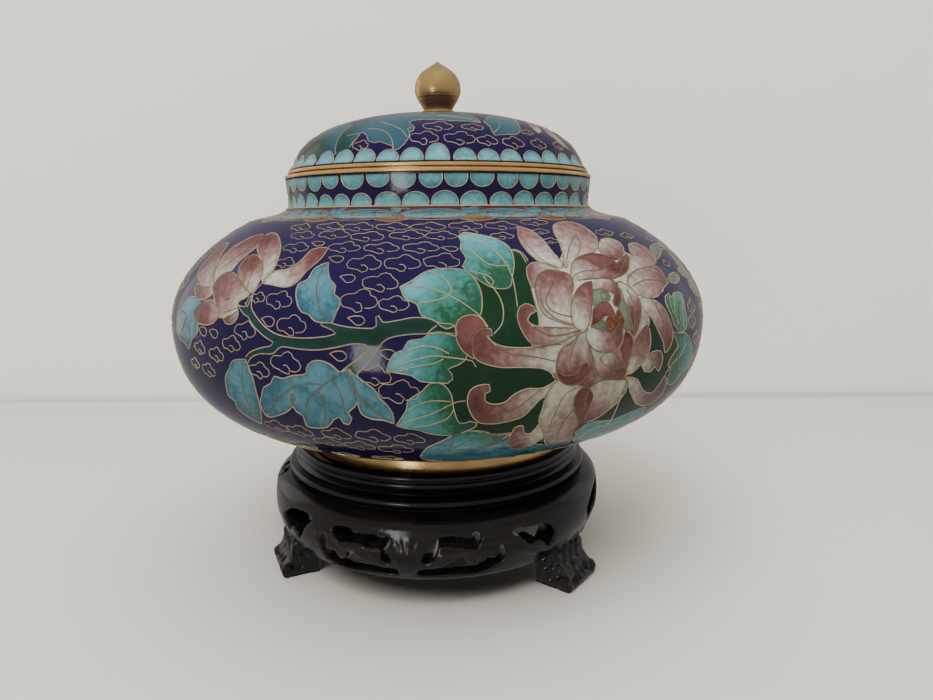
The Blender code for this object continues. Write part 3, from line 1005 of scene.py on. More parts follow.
def makeOpenings(apron):
    cutter = bmesh.new()
    for turnBy in (0.0, 120.0, 240.0):
        for outline in apronOpenings:
            line = smoothLine(outline, True, 2.2)
            rays = []
            for x, y in line:
                spot = hitSurface(apron, x, y)
                rays.append((math.degrees(unchart(apron, spot)[0]) + turnBy, onSurface(apron, spot).z))
            near, far = 0.032, 0.062
            corners = [cutter.verts.new(standPoint(degrees, near, height)) for degrees, height in rays]
            face = cutter.faces.new(corners)
            grown = bmesh.ops.extrude_face_region(cutter, geom=[face])
            for vert in grown["geom"]:
                if isinstance(vert, bmesh.types.BMVert):
                    vert.co.xy *= far / near
    bmesh.ops.recalc_face_normals(cutter, faces=cutter.faces)
    return meshOf("openings", cutter)


def legSide(toe):
    ankle, inner, high = stand["ankle"], stand["legInner"], stand["toeHeight"]
    return smoothLine(
        [
            (inner, 0.0, 1), (toe - 0.0010, 0.0, 1), (toe - 0.0001, 0.0010), (toe, 0.0024),
            (toe - 0.0006, 0.0038), (toe - 0.0020, high), (ankle + 0.0002, 0.0072),
            (ankle - 0.0006, stand["clearance"]),
            (stand["footRadius"] + 0.0016, stand["clearance"] + 0.0046),
            (stand["bore"] + 0.002, stand["clearance"] + 0.0088, 1),
            (inner, stand["clearance"] + 0.0046, 1),
        ],
        True,
        0.0011,
    )


legParts = {
    "narrow": 0.96,
    "widening": 0.06,
    "volute": 0.0020,
    "voluteLength": 0.0018,
    "spines": (-0.0036, 0.0, 0.0036),
    "spine": 0.0012,
    "spineTip": 0.0006,
    "spineLength": 0.0100,
    "spineLean": 6,
}


def addLegs(work):
    ankle, inner = stand["ankle"], stand["legInner"]
    half = 0.5 * stand["legWidth"]
    for turnBy, out in stand["toeOut"].items():
        toe = stand["toe"] + out
        side = legSide(toe)
        turning = spun(stand["panel"] + turnBy, "Z")
        face = work.faces.new([work.verts.new((-half, -radius, height)) for radius, height in side])
        grown = bmesh.ops.extrude_face_region(work, geom=[face])
        far = [vert for vert in grown["geom"] if isinstance(vert, bmesh.types.BMVert)]
        bmesh.ops.translate(work, verts=far, vec=(stand["legWidth"], 0, 0))
        leg = list(face.verts) + far
        for vert in leg:
            # the leg widens a little towards its toe
            outer = min(max((-vert.co.y - inner) / (toe - inner), 0.0), 1.0)
            vert.co.x *= legParts["narrow"] + legParts["widening"] * outer**2
        bmesh.ops.rotate(work, verts=leg, cent=(0, 0, 0), matrix=turning)
        for sign in (-1.0, 1.0):
            # a small volute at each end of the toe
            place = Matrix.Translation((sign * (half - 0.0006), -(toe - 0.0019), 0.0027))
            roll = bmesh.ops.create_cone(
                work, cap_ends=True, segments=20, radius1=legParts["volute"], radius2=legParts["volute"],
                depth=legParts["voluteLength"], matrix=place @ spun(90, "Y", 4),
            )
            bmesh.ops.rotate(work, verts=roll["verts"], cent=(0, 0, 0), matrix=turning)
        # a leaf's spine down the leg, from the apron to the toe
        for offset in legParts["spines"]:
            place = Matrix.Translation((offset, -(ankle - 0.0004), 0.0092))
            spine = bmesh.ops.create_cone(
                work, cap_ends=True, segments=10, radius1=legParts["spine"], radius2=legParts["spineTip"],
                depth=legParts["spineLength"], matrix=place @ spun(legParts["spineLean"], "X", 4),
            )
            bmesh.ops.rotate(work, verts=spine["verts"], cent=(0, 0, 0), matrix=turning)


def addRelief(work, apron):
    # The spray of fluted leaves in the middle of each panel, and ridges that follow the scrolls.
    strokes = [
        ([(409, 575), (408, 566), (408, 556), (409, 547), (409, 540)], 0.0008),
        ([(405, 575), (403, 565), (402, 555), (401, 547), (398, 541)], 0.0007),
        ([(413, 575), (414, 565), (415, 556), (417, 549), (420, 545)], 0.0007),
        ([(401, 576), (398, 566), (397, 558), (396, 550), (393, 545)], 0.0006),
        (
            [(325, 531), (333, 535), (341, 546), (352, 547), (360, 549), (372, 554), (377, 560), (388, 566)],
            0.0006,
        ),
        (
            [(424, 567), (436, 563), (444, 556), (462, 553), (480, 554), (490, 550), (493, 541), (490, 534)],
            0.0006,
        ),
        ([(508, 545), (516, 549), (530, 551), (545, 551), (556, 545)], 0.0006),
        ([(300, 545), (306, 548), (312, 545), (316, 537), (316, 530)], 0.0006),
    ]
    curve = bpy.data.curves.new("relief", "CURVE")
    curve.dimensions = "3D"
    curve.bevel_resolution = 2
    curve.use_fill_caps = True
    curve.bevel_depth = 1.0
    for turnBy in (0.0, 120.0, 240.0):
        for points, thick in strokes:
            drawn = smoothLine(points, False, 3.0)
            line = [onSurface(apron, hitSurface(apron, x, y), -0.0001) for x, y in drawn]
            spline = curve.splines.new("POLY")
            spline.points.add(len(line) - 1)
            turning = spun(turnBy, "Z")
            for index, (point, spot) in enumerate(zip(spline.points, line)):
                spot = turning @ (spot - Vector((stand["shift"], 0, 0)))
                point.co = (*spot, 1.0)
                share = index / (len(line) - 1)
                point.radius = thick * (0.55 + 0.45 * math.sin(math.pi * min(share * 1.4, 1.0)))
    work.from_mesh(applied(addItem("relief", curve)))


# Cuts in each leg: reach from the axis or place across, height, radius and depth of each.
legCuts = {
    "side": [
        (0.0497, 0.0030, 0.0007, 0.0010), (0.0503, 0.0043, 0.0006, 0.0009),
        (0.0519, 0.0041, 0.0008, 0.0012), (0.0533, 0.0050, 0.0006, 0.0008),
        (0.0478, 0.0060, 0.0007, 0.0009), (0.0490, 0.0075, 0.0008, 0.0011),
        (0.0505, 0.0066, 0.0006, 0.0008), (0.0470, 0.0088, 0.0007, 0.0009),
        (0.0512, 0.0084, 0.0007, 0.0008), (0.0462, 0.0038, 0.0006, 0.0006),
    ],
    "front": [
        (-0.0058, 0.0028, 0.0009, 0.0013), (-0.0044, 0.0031, 0.0009, 0.0014),
        (-0.0030, 0.0036, 0.0008, 0.0011), (0.0002, 0.0040, 0.0006, 0.0008),
        (0.0030, 0.0043, 0.0007, 0.0010), (0.0050, 0.0030, 0.0007, 0.0007),
        (-0.0015, 0.0064, 0.0006, 0.0006), (0.0028, 0.0074, 0.0006, 0.0006),
    ],
    "top": 0.0150,
    "aside": 0.0100,
    "inner": stand["legInner"] - 0.0004,
    "groove": 0.0121,
    "grooveFrom": 0.0495,
    "ragged": 0.0012,
    "raggedGrain": 350.0,
    "grooveWidth": 0.00055,
    "grooveDepth": 0.0009,
    "plinth": 0.0012,
    "undercut": 0.0004,
    "rough": 0.00014,
    "roughGrain": 700.0,
}


def carveLegs(work):
    # Chisel marks: pits on the toes and sides, a ragged groove under the apron and a drawn-in plinth.
    work.normal_update()
    for turnBy in stand["toeOut"]:
        turning = spun(stand["panel"] + turnBy, "Z")
        back = turning.inverted()
        for vert in work.verts:
            spot = back @ vert.co
            reach = -spot.y
            if spot.z > legCuts["top"] or abs(spot.x) > legCuts["aside"] or reach < legCuts["inner"]:
                continue
            facing = back @ vert.normal
            push = legCuts["rough"] * noise.noise(vert.co * legCuts["roughGrain"])
            if abs(facing.x) > 0.6:
                cuts, across = legCuts["side"], reach
            elif facing.y < -0.3:
                cuts, across = legCuts["front"], spot.x
            else:
                cuts, across = [], 0.0
            for place, height, radius, depth in cuts:
                push += depth * math.exp(-((across - place) ** 2 + (spot.z - height) ** 2) / radius**2)
            if reach > legCuts["grooveFrom"]:
                ragged = legCuts["groove"] + legCuts["ragged"] * noise.noise(vert.co * legCuts["raggedGrain"])
                away = (spot.z - ragged) / legCuts["grooveWidth"]
                push += legCuts["grooveDepth"] * math.exp(-(away**2))
            if spot.z < legCuts["plinth"] and facing.z > -0.5:
                push += legCuts["undercut"]
            vert.co -= vert.normal * push


# A cracked corner on the left shoulder, as the photograph shows it, in its pixels.
crack = {
    "line": [
        (279, 475), (282, 473), (285, 471), (284, 467.5), (286, 464), (290, 461.5), (295, 461),
        (287.5, 468.5), (291, 470), (295, 471.3), (299, 472.2), (303, 472.8), (306, 473.2),
    ],
    "reach": 0.0024,
    "depth": 0.0011,
    "radius": 0.0007,
}


def cutCrack(work, apron):
    for x, y in crack["line"]:
        middle = onSurface(apron, hitSurface(apron, x, y))
        for vert in work.verts:
            away = (vert.co - middle).length_squared
            if away < crack["reach"] ** 2:
                vert.co -= vert.normal * crack["depth"] * math.exp(-away / crack["radius"] ** 2)


def makeStandBase():
    outside = apronProfile()
    apron = makeSurface(outside, stand["bulge"], stand["shift"])
    profile = [(stand["bore"], stand["clearance"])] + outside + [(stand["bore"], standTopZ)]
    ring = spinProfile(profile, 144, True, 0.00001)
    holder = addItem("stand_ring", meshOf("stand_ring", ring))
    knife = addItem("openings", makeOpenings(apron))
    cut = holder.modifiers.new("openings", "BOOLEAN")
    cut.operation = "DIFFERENCE"
    cut.solver = "EXACT"
    cut.object = knife
    pierced = applied(holder)
    bpy.data.objects.remove(knife)
    work = bmesh.new()
    work.from_mesh(pierced)
    addLegs(work)
    bmesh.ops.recalc_face_normals(work, faces=work.faces)
    addRelief(work, apron)
    holder = addItem("stand_rough", meshOf("stand_rough", work))
    melt = holder.modifiers.new("melt", "REMESH")
    melt.mode = "VOXEL"
    melt.voxel_size = stand["voxel"]
    joined = applied(holder)
    work = bmesh.new()
    work.from_mesh(joined)
    for _ in range(2):
        bmesh.ops.smooth_vert(
            work, verts=work.verts, factor=0.5, use_axis_x=True, use_axis_y=True, use_axis_z=True
        )
    carveLegs(work)
    for vert in work.verts:
        vert.co.z = max(vert.co.z, 0.0)
    bmesh.ops.translate(work, verts=work.verts, vec=(stand["shift"], 0, 0))
    cutCrack(work, apron)
    mesh = meshOf("stand_carved_base", work)
    item = keepObject("stand_carved_base", mesh, [wood], 60.0)
    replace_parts(item, "stand_base")
    print("carved base", len(mesh.polygons), "faces")


makeStandBase()


# The flowers, leaves and vine on the belly, drawn on two enlarged sheets of the photograph

leftSheet = {"left": 160, "top": 200, "scale": 5.6, "step": 22.0}
rightSheet = {"left": 400, "top": 200, "scale": 4.9, "step": 22.0}
finishes = [
    fieldGreen, turquoise, tealBlue, petalPink, petalMaroon, heartBrown, paleGreen, beadBlue, orange,
    lidTeal, wine,
]
field, leaf, teal, petal, maroon, heart, pale, bead, amber, lidLeaf, rust = range(11)

# Each cell: enamel, where its tint is darkest, where it is palest, and its outline.
# A third number beside a point makes a corner there.
leftCells = [
    (field, (800, 800), (400, 700), [
        (440, 590), (475, 600), (500, 545), (522, 530), (513, 600), (545, 660), (600, 720), (680, 760),
        (800, 774), (930, 765), (986, 748, 1), (965, 728), (900, 698), (945, 688), (1000, 702),
        (1080, 716), (1190, 720), (1213, 705), (1210, 658), (1226, 648), (1248, 685), (1330, 676),
        (1420, 660), (1500, 665), (1568, 690), (1640, 700), (1660, 760), (1568, 738), (1495, 748),
        (1400, 752), (1300, 768), (1245, 800), (1190, 880), (1130, 950), (1085, 985), (1050, 950),
        (1010, 965), (1080, 910), (1150, 860), (1166, 826, 1), (1150, 811), (1080, 806), (980, 826),
        (870, 840), (760, 832), (680, 822), (630, 860), (560, 860), (510, 882), (490, 915), (470, 900),
        (500, 856), (560, 830), (620, 818), (636, 797, 1), (580, 760), (520, 700), (495, 655), (470, 640),
    ]),
    (teal, (150, 900), (150, 500), [
        (205, 545), (160, 545), (125, 585), (108, 620), (98, 680), (92, 720), (110, 775), (140, 800),
        (165, 835), (180, 780), (212, 742), (214, 690), (225, 640), (235, 580),
    ]),
    (teal, (880, 900), (900, 200), [
        (945, 350, 1), (900, 365), (858, 395), (828, 445), (775, 472), (762, 525), (770, 585), (795, 630),
        (832, 640), (868, 680), (945, 690), (962, 690), (985, 635), (1012, 578), (998, 545), (976, 528),
        (984, 480), (958, 452), (942, 400),
    ]),
    (teal, (480, 1400), (480, 600), [
        (482, 893, 1), (440, 893), (405, 903), (388, 945), (368, 985), (372, 1040), (385, 1095),
        (422, 1125), (440, 1170), (500, 1215), (570, 1253, 1), (562, 1160), (540, 1080), (522, 1005),
        (500, 945), (490, 915),
    ]),
    (teal, (900, 1500), (700, 800), [
        (1010, 965), (958, 924), (900, 900), (848, 906), (820, 940), (815, 975), (740, 984), (685, 1000),
        (640, 987), (620, 1028), (580, 1050), (570, 1100), (562, 1140), (604, 1212), (680, 1200),
        (722, 1178), (745, 1155), (765, 1185), (800, 1205), (822, 1262), (872, 1275), (940, 1270),
        (975, 1228), (1005, 1215), (1030, 1250), (1058, 1256), (1074, 1222), (1055, 1190), (1094, 1155),
        (1102, 1110), (1088, 1060), (1068, 1000), (1055, 945),
    ]),
    (teal, (1250, 1500), (1100, 900), [
        (1060, 950), (1066, 1010), (1085, 1075), (1105, 1130), (1128, 1195), (1185, 1225), (1250, 1232),
        (1312, 1252, 1), (1303, 1195), (1272, 1150), (1232, 1110), (1200, 1062), (1135, 1012), (1085, 975),
    ]),
    # the bud, its back petals first
    (petal, (480, 235), (298, 480), [
        (300, 485), (308, 400), (340, 335), (395, 275), (455, 240), (520, 205), (580, 195), (570, 240),
        (510, 290), (440, 350), (400, 400), (340, 430),
    ]),
    (petal, (245, 350), (322, 504), [
        (300, 485), (255, 488), (222, 450), (215, 410), (240, 365), (290, 310), (350, 250), (385, 245),
        (350, 300), (318, 370), (302, 420),
    ]),
    (petal, (212, 545), (314, 482), [
        (212, 465), (250, 487), (300, 490), (292, 530), (245, 560), (212, 552), (196, 512),
    ]),
    (petal, (648, 205), (574, 436), [
        (575, 455), (560, 400), (575, 345), (550, 290), (555, 235), (590, 200), (630, 185), (662, 200),
        (678, 262), (662, 330), (632, 400),
    ]),
    (petal, (905, 285), (646, 481), [
        (572, 462), (640, 402), (718, 386), (790, 340), (846, 284), (900, 268), (942, 270, 1), (912, 320),
        (870, 360), (820, 402), (790, 440), (742, 480), (690, 490), (622, 476),
    ]),
    (petal, (520, 325), (492, 514), [
        (440, 432), (448, 375), (490, 322), (540, 308), (574, 345), (578, 400), (560, 452), (512, 522),
        (478, 500), (455, 460),
    ]),
    (petal, (372, 425), (453, 628), [
        (300, 490), (335, 430), (390, 402), (440, 432), (462, 480), (505, 522), (475, 552), (440, 572),
        (432, 612), (378, 620), (328, 600), (304, 550),
    ]),
    (petal, (212, 645), (405, 596), [
        (190, 645), (206, 603), (250, 570), (300, 562), (332, 605), (380, 625), (436, 606), (430, 660),
        (372, 672), (330, 655), (298, 690), (258, 700), (215, 690),
    ]),
    (petal, (368, 700), (441, 609), [
        (355, 662), (400, 645), (438, 622), (434, 664), (402, 695), (368, 690),
    ]),
]

rightCells = [
    (field, (700, 1000), (400, 400), [
        (545, 245), (600, 262), (650, 320), (800, 400), (1200, 560), (1340, 632), (1400, 650), (1424, 740),
        (1402, 850), (1335, 930), (1245, 1010), (1130, 1060), (980, 1100), (880, 1140), (700, 1215),
        (520, 1210), (380, 1165), (260, 1155), (180, 1110), (150, 960), (215, 900), (200, 800), (120, 700),
        (150, 640), (250, 560), (290, 440), (320, 370), (430, 330), (520, 300),
    ]),
    (teal, (1000, 1230), (-300, 1200), [
        (100, 1256), (130, 1215), (182, 1190), (235, 1165), (292, 1136), (400, 1130), (520, 1165),
        (700, 1196), (870, 1180), (860, 1214), (700, 1244), (550, 1264), (400, 1277), (250, 1280),
        (150, 1274), (112, 1266),
    ]),
    (leaf, (600, 1000), (250, 1270), [
        (240, 1232), (262, 1180), (272, 1150), (330, 1129), (400, 1136), (470, 1146), (546, 1140),
        (522, 1172), (470, 1195), (380, 1214), (300, 1226),
    ]),
    (leaf, (540, 480), (330, 170), [
        (285, 178, 1), (312, 160), (380, 170), (450, 185), (512, 214), (546, 250), (559, 310), (552, 370),
        (535, 430), (450, 430), (360, 376), (322, 345), (306, 325), (325, 288), (296, 240), (300, 205),
    ]),
    (leaf, (400, 640), (40, 360), [
        (0, 426, 1), (60, 395), (120, 355), (200, 337), (300, 342), (350, 370), (390, 430), (402, 500),
        (390, 568), (330, 575), (290, 604), (225, 632), (165, 590), (105, 566), (82, 512), (25, 484),
    ]),
    (leaf, (330, 860), (0, 740), [
        (-65, 840, 1), (-58, 805), (-28, 752), (15, 735), (40, 692), (110, 680), (150, 656), (262, 655),
        (292, 700), (330, 760), (300, 800), (236, 830), (255, 852), (258, 878), (235, 897), (180, 895),
        (100, 888), (60, 862), (0, 850),
    ]),
    (leaf, (290, 960), (0, 1080), [
        (-19, 1104, 1), (31, 1028), (40, 982), (110, 935), (145, 900), (205, 900), (250, 950), (265, 1030),
        (292, 1092), (345, 1083), (376, 1090), (370, 1110), (300, 1140), (250, 1152), (150, 1145),
        (90, 1125), (20, 1116),
    ]),
    (leaf, (1000, 1260), (1060, 960), [
        (850, 1182), (880, 1120), (950, 1085), (1030, 1076), (1100, 1050), (1200, 1012), (1160, 1075),
        (1060, 1125), (950, 1165),
    ]),
    (pale, (1345, 410), (1335, 360), [
        (1341, 355), (1361, 363), (1369, 383), (1361, 403), (1341, 411), (1321, 403), (1313, 383),
        (1321, 363),
    ]),
    (leaf, (1240, 860), (1470, 700), [
        (1335, 643), (1360, 652), (1396, 649), (1415, 668), (1427, 704), (1430, 760), (1415, 808),
        (1390, 833), (1360, 870), (1329, 904), (1305, 900), (1318, 851), (1325, 821, 1), (1312, 815),
        (1322, 778), (1347, 741), (1360, 710), (1346, 674),
    ]),
    (leaf, (1290, 680), (1420, 440), [
        (1298, 472, 1), (1314, 459), (1329, 478, 1), (1341, 456), (1363, 450), (1379, 459), (1387, 490),
        (1396, 539), (1404, 588), (1400, 625), (1384, 649), (1366, 645), (1352, 622), (1341, 606),
        (1333, 576), (1317, 539), (1302, 502),
    ]),
    # the flower: a ground of rose enamel, then its back petals first
    (petal, (900, 1100), (900, 500), [
        (640, 330), (780, 300), (800, 250), (960, 230), (1080, 250), (1230, 320), (1290, 440), (1200, 500),
        (1220, 600), (1160, 760), (1110, 870), (960, 1060), (720, 1190), (760, 900), (700, 810),
        (640, 700), (680, 600), (640, 420),
    ]),
    (petal, (590, 90), (720, 300), [
        (575, 130, 1), (584, 190), (620, 248), (680, 300), (740, 322), (795, 335), (790, 300), (752, 262),
        (722, 222), (690, 188), (640, 150),
    ]),
    (petal, (850, 80), (820, 300), [
        (808, 335), (797, 270), (782, 210), (755, 160), (752, 122), (800, 108), (862, 115), (922, 146),
        (966, 190), (972, 240), (920, 268), (866, 290),
    ]),
    (petal, (1080, 300), (970, 200), [
        (972, 245), (980, 196), (1030, 190), (1080, 214), (1097, 258), (1064, 296), (1010, 290),
    ]),
    (petal, (1190, 180), (1120, 400), [
        (1114, 382), (1114, 320), (1130, 262), (1118, 218), (1162, 214), (1220, 250), (1256, 308),
        (1240, 330), (1200, 335), (1150, 360),
    ]),
    (petal, (1340, 400), (1110, 440), [
        (1112, 395), (1142, 352), (1190, 332), (1262, 330), (1292, 370), (1312, 402), (1282, 440),
        (1262, 472), (1212, 482), (1160, 462), (1122, 432),
    ]),
    (petal, (1350, 700), (1170, 500), [
        (1166, 480), (1240, 488), (1292, 530), (1322, 590), (1336, 660), (1322, 720), (1296, 748),
        (1290, 700), (1268, 650), (1228, 572), (1192, 542),
    ]),
    (petal, (960, 240), (860, 400), [
        (835, 340), (858, 290), (920, 264), (982, 267), (1042, 290), (1060, 310), (1110, 262), (1122, 300),
        (1112, 352), (1060, 382), (990, 386), (930, 386), (872, 396), (848, 412),
    ]),
    (maroon, (930, 240), (930, 340), [
        (862, 292), (920, 264), (982, 267), (1042, 292), (1020, 320), (958, 320), (905, 290),
    ]),
    (petal, (1200, 640), (1100, 420), [
        (1060, 400), (1120, 428), (1166, 478), (1182, 540), (1172, 610), (1148, 662), (1120, 640),
        (1102, 560), (1082, 480),
    ]),
    (petal, (1195, 590), (1130, 860), [
        (1105, 855), (1120, 780), (1150, 690), (1182, 640), (1212, 612), (1228, 680), (1216, 750),
        (1182, 802), (1132, 850),
    ]),
    (petal, (1290, 770), (1190, 830), [
        (1182, 812), (1212, 762), (1240, 742), (1276, 740), (1286, 782), (1264, 838), (1246, 815),
        (1226, 842), (1196, 840),
    ]),
    (petal, (1310, 850), (1130, 900), [
        (1106, 872), (1162, 878), (1190, 932), (1230, 944), (1272, 900), (1296, 858), (1302, 902),
        (1272, 960), (1212, 1002), (1160, 1000), (1130, 950),
    ]),
    # the far-left hooked petal and its strand
    (maroon, (300, 640), (420, 600), [
        (270, 640), (286, 588), (332, 564), (386, 570), (426, 624), (392, 640), (362, 682), (352, 730),
        (364, 778), (310, 742), (280, 692),
    ]),
    (petal, (330, 640), (760, 790), [
        (352, 706), (368, 658), (404, 632), (446, 634), (452, 664), (424, 668), (462, 702), (530, 722),
        (650, 722), (790, 708), (800, 760), (765, 852), (700, 826), (600, 820), (500, 820), (420, 804),
        (366, 772),
    ]),
    (petal, (310, 980), (740, 920), [
        (330, 982), (346, 930), (386, 908), (436, 904), (442, 936), (414, 950), (416, 982), (452, 1000),
        (512, 990), (562, 950), (622, 924), (700, 920), (790, 872), (760, 935), (692, 972), (652, 1012),
        (600, 1060), (520, 1086), (442, 1096), (382, 1086), (346, 1042),
    ]),
    (petal, (500, 1170), (700, 1110), [
        (526, 1192), (546, 1142), (562, 1114), (602, 1104), (606, 1138), (642, 1140), (694, 1088),
        (712, 1150), (652, 1192), (592, 1216), (542, 1212),
    ]),
    (petal, (780, 1240), (780, 940), [
        (780, 880), (722, 942), (698, 1020), (680, 1082), (702, 1142), (712, 1196), (772, 1194),
        (832, 1186), (842, 1140), (872, 1102), (880, 1050), (850, 1000), (862, 950), (910, 915),
        (850, 905),
    ]),
    (petal, (900, 1140), (1080, 890), [
        (1112, 882), (1110, 925), (1080, 972), (1030, 1020), (960, 1070), (900, 1090), (868, 1078),
        (878, 1000), (930, 920), (1000, 880), (1060, 880),
    ]),
    (maroon, (870, 1000), (950, 1000), [
        (852, 1000), (870, 940), (910, 916), (946, 950), (930, 1002), (908, 1052), (884, 1082), (862, 1052),
    ]),
    (petal, (1000, 960), (980, 720), [
        (930, 690), (940, 762), (962, 842), (1002, 878), (1062, 872), (1106, 850), (1082, 790),
        (1032, 742), (960, 740),
    ]),
    # the left side of the head
    (petal, (600, 330), (740, 380), [
        (620, 332), (642, 310), (692, 307), (752, 330), (786, 352), (712, 345), (672, 382), (656, 434),
        (634, 402), (622, 362),
    ]),
    (petal, (700, 300), (800, 600), [
        (660, 432), (672, 380), (712, 344), (786, 350), (835, 370), (850, 420), (840, 482), (846, 562),
        (880, 622), (822, 612), (762, 592), (702, 560), (672, 492),
    ]),
    (petal, (560, 560), (850, 640), [
        (574, 562), (585, 525), (612, 508), (652, 520), (667, 546), (640, 560), (625, 590), (652, 612),
        (702, 622), (782, 626), (884, 634), (800, 692), (742, 706), (692, 710), (640, 700), (602, 652),
        (580, 602),
    ]),
    (petal, (860, 940), (890, 640), [
        (884, 640), (850, 690), (788, 730), (764, 802), (774, 872), (820, 906), (880, 898), (925, 855),
        (950, 800), (935, 740), (925, 690), (910, 650),
    ]),
    (maroon, (820, 880), (900, 800), [
        (772, 840), (800, 860), (850, 858), (874, 840), (890, 808), (914, 796), (920, 842), (882, 892),
        (822, 904), (780, 878),
    ]),
    # the heart of the flower
    (petal, (1165, 600), (1085, 430), [
        (1064, 402), (1099, 410), (1148, 448), (1176, 504), (1180, 546), (1162, 588), (1141, 623),
        (1120, 640), (1100, 560), (1080, 476),
    ]),
    (pale, (1120, 600), (1070, 430), [
        (1076, 430), (1096, 490), (1113, 532), (1127, 574), (1141, 623), (1127, 640), (1105, 645),
        (1080, 600), (1066, 540), (1060, 500),
    ]),
    (petal, (1085, 640), (950, 700), [
        (910, 644), (942, 622), (994, 640), (1026, 640), (1050, 630), (1072, 606), (1090, 612),
        (1090, 651), (1087, 686), (1066, 720), (1029, 740), (987, 744), (952, 734), (924, 704), (910, 674),
    ]),
    (maroon, (1120, 680), (1095, 790), [
        (1104, 640), (1134, 668), (1142, 707), (1129, 751), (1106, 800), (1090, 780), (1084, 752),
        (1074, 735), (1090, 700), (1096, 665),
    ]),
    (petal, (1070, 500), (960, 385), [
        (940, 410), (957, 390), (994, 379), (1029, 386), (1059, 411), (1076, 453), (1080, 492),
        (1068, 523), (1048, 520), (1042, 497), (1050, 462), (1022, 450), (987, 440), (948, 446),
    ]),
    (pale, (1000, 520), (960, 440), [
        (944, 442), (967, 436), (987, 438), (1018, 450), (1030, 476), (1020, 500), (994, 503), (973, 508),
        (950, 530), (938, 500),
    ]),
    (maroon, (960, 600), (1010, 500), [
        (946, 536), (965, 511), (994, 497), (1026, 509), (1046, 544), (1055, 576), (1043, 592),
        (1024, 572), (1004, 570), (987, 590), (952, 618), (934, 622), (942, 588), (942, 560),
    ]),
    (pale, (1000, 640), (950, 610), [
        (936, 622, 1), (970, 604), (994, 586), (1009, 596), (1009, 616), (1018, 640), (994, 640),
        (968, 632),
    ]),
    (heart, (1060, 560), (1020, 640), [
        (1013, 578), (1029, 568), (1043, 582), (1056, 560), (1066, 540), (1088, 560), (1100, 600),
        (1096, 622), (1082, 616), (1072, 606), (1060, 623), (1046, 642), (1026, 652), (1008, 640),
        (1003, 606),
    ]),
    (petal, (938, 400), (880, 610), [
        (938, 399, 1), (903, 408), (868, 438), (844, 490), (836, 546), (844, 595), (864, 630),
        (892, 654, 1), (914, 630), (932, 588), (939, 532), (944, 462), (942, 420),
    ]),
    (petal, (1099, 850), (1000, 760), [
        (976, 774, 1), (994, 756), (1029, 744), (1060, 756), (1078, 791), (1085, 819), (1099, 836, 1),
        (1064, 834), (1029, 824), (1001, 805),
    ]),
]

# Wires inside the cells: veins, curls and the lines on the green field.
leftVeins = [
    [(917, 365), (892, 430), (877, 500), (885, 580), (912, 640), (948, 692)],
    [(480, 900), (460, 980), (470, 1080), (512, 1172), (566, 1244)],
    [(1150, 858), (1010, 965), (912, 1040), (850, 1092), (822, 1140), (814, 1205), (824, 1262)],
    [(602, 1208), (640, 1140), (702, 1075), (782, 1038), (850, 1027), (908, 1034)],
    [(886, 1072), (914, 1122), (926, 1180), (918, 1268)],
    [(962, 1010), (1002, 1060), (1026, 1130), (1036, 1198)],
    [(1062, 945), (1090, 1050), (1140, 1122), (1202, 1182), (1306, 1246)],
    [(742, 1158), (732, 1120), (735, 1095), (748, 1085), (758, 1100), (750, 1130), (744, 1156)],
    [(112, 640), (130, 620), (150, 640), (140, 690), (120, 740)],
    [(150, 690), (170, 740), (160, 800)],
    [(372, 372), (420, 330), (470, 290), (540, 235)],
    [(490, 360), (478, 420), (470, 470), (486, 495), (505, 440), (530, 380), (520, 345)],
    [(345, 500), (350, 545), (385, 555), (400, 545)],
    [(590, 455), (560, 480), (520, 530), (490, 600), (478, 575)],
    [(560, 248), (545, 275), (552, 300)],
]
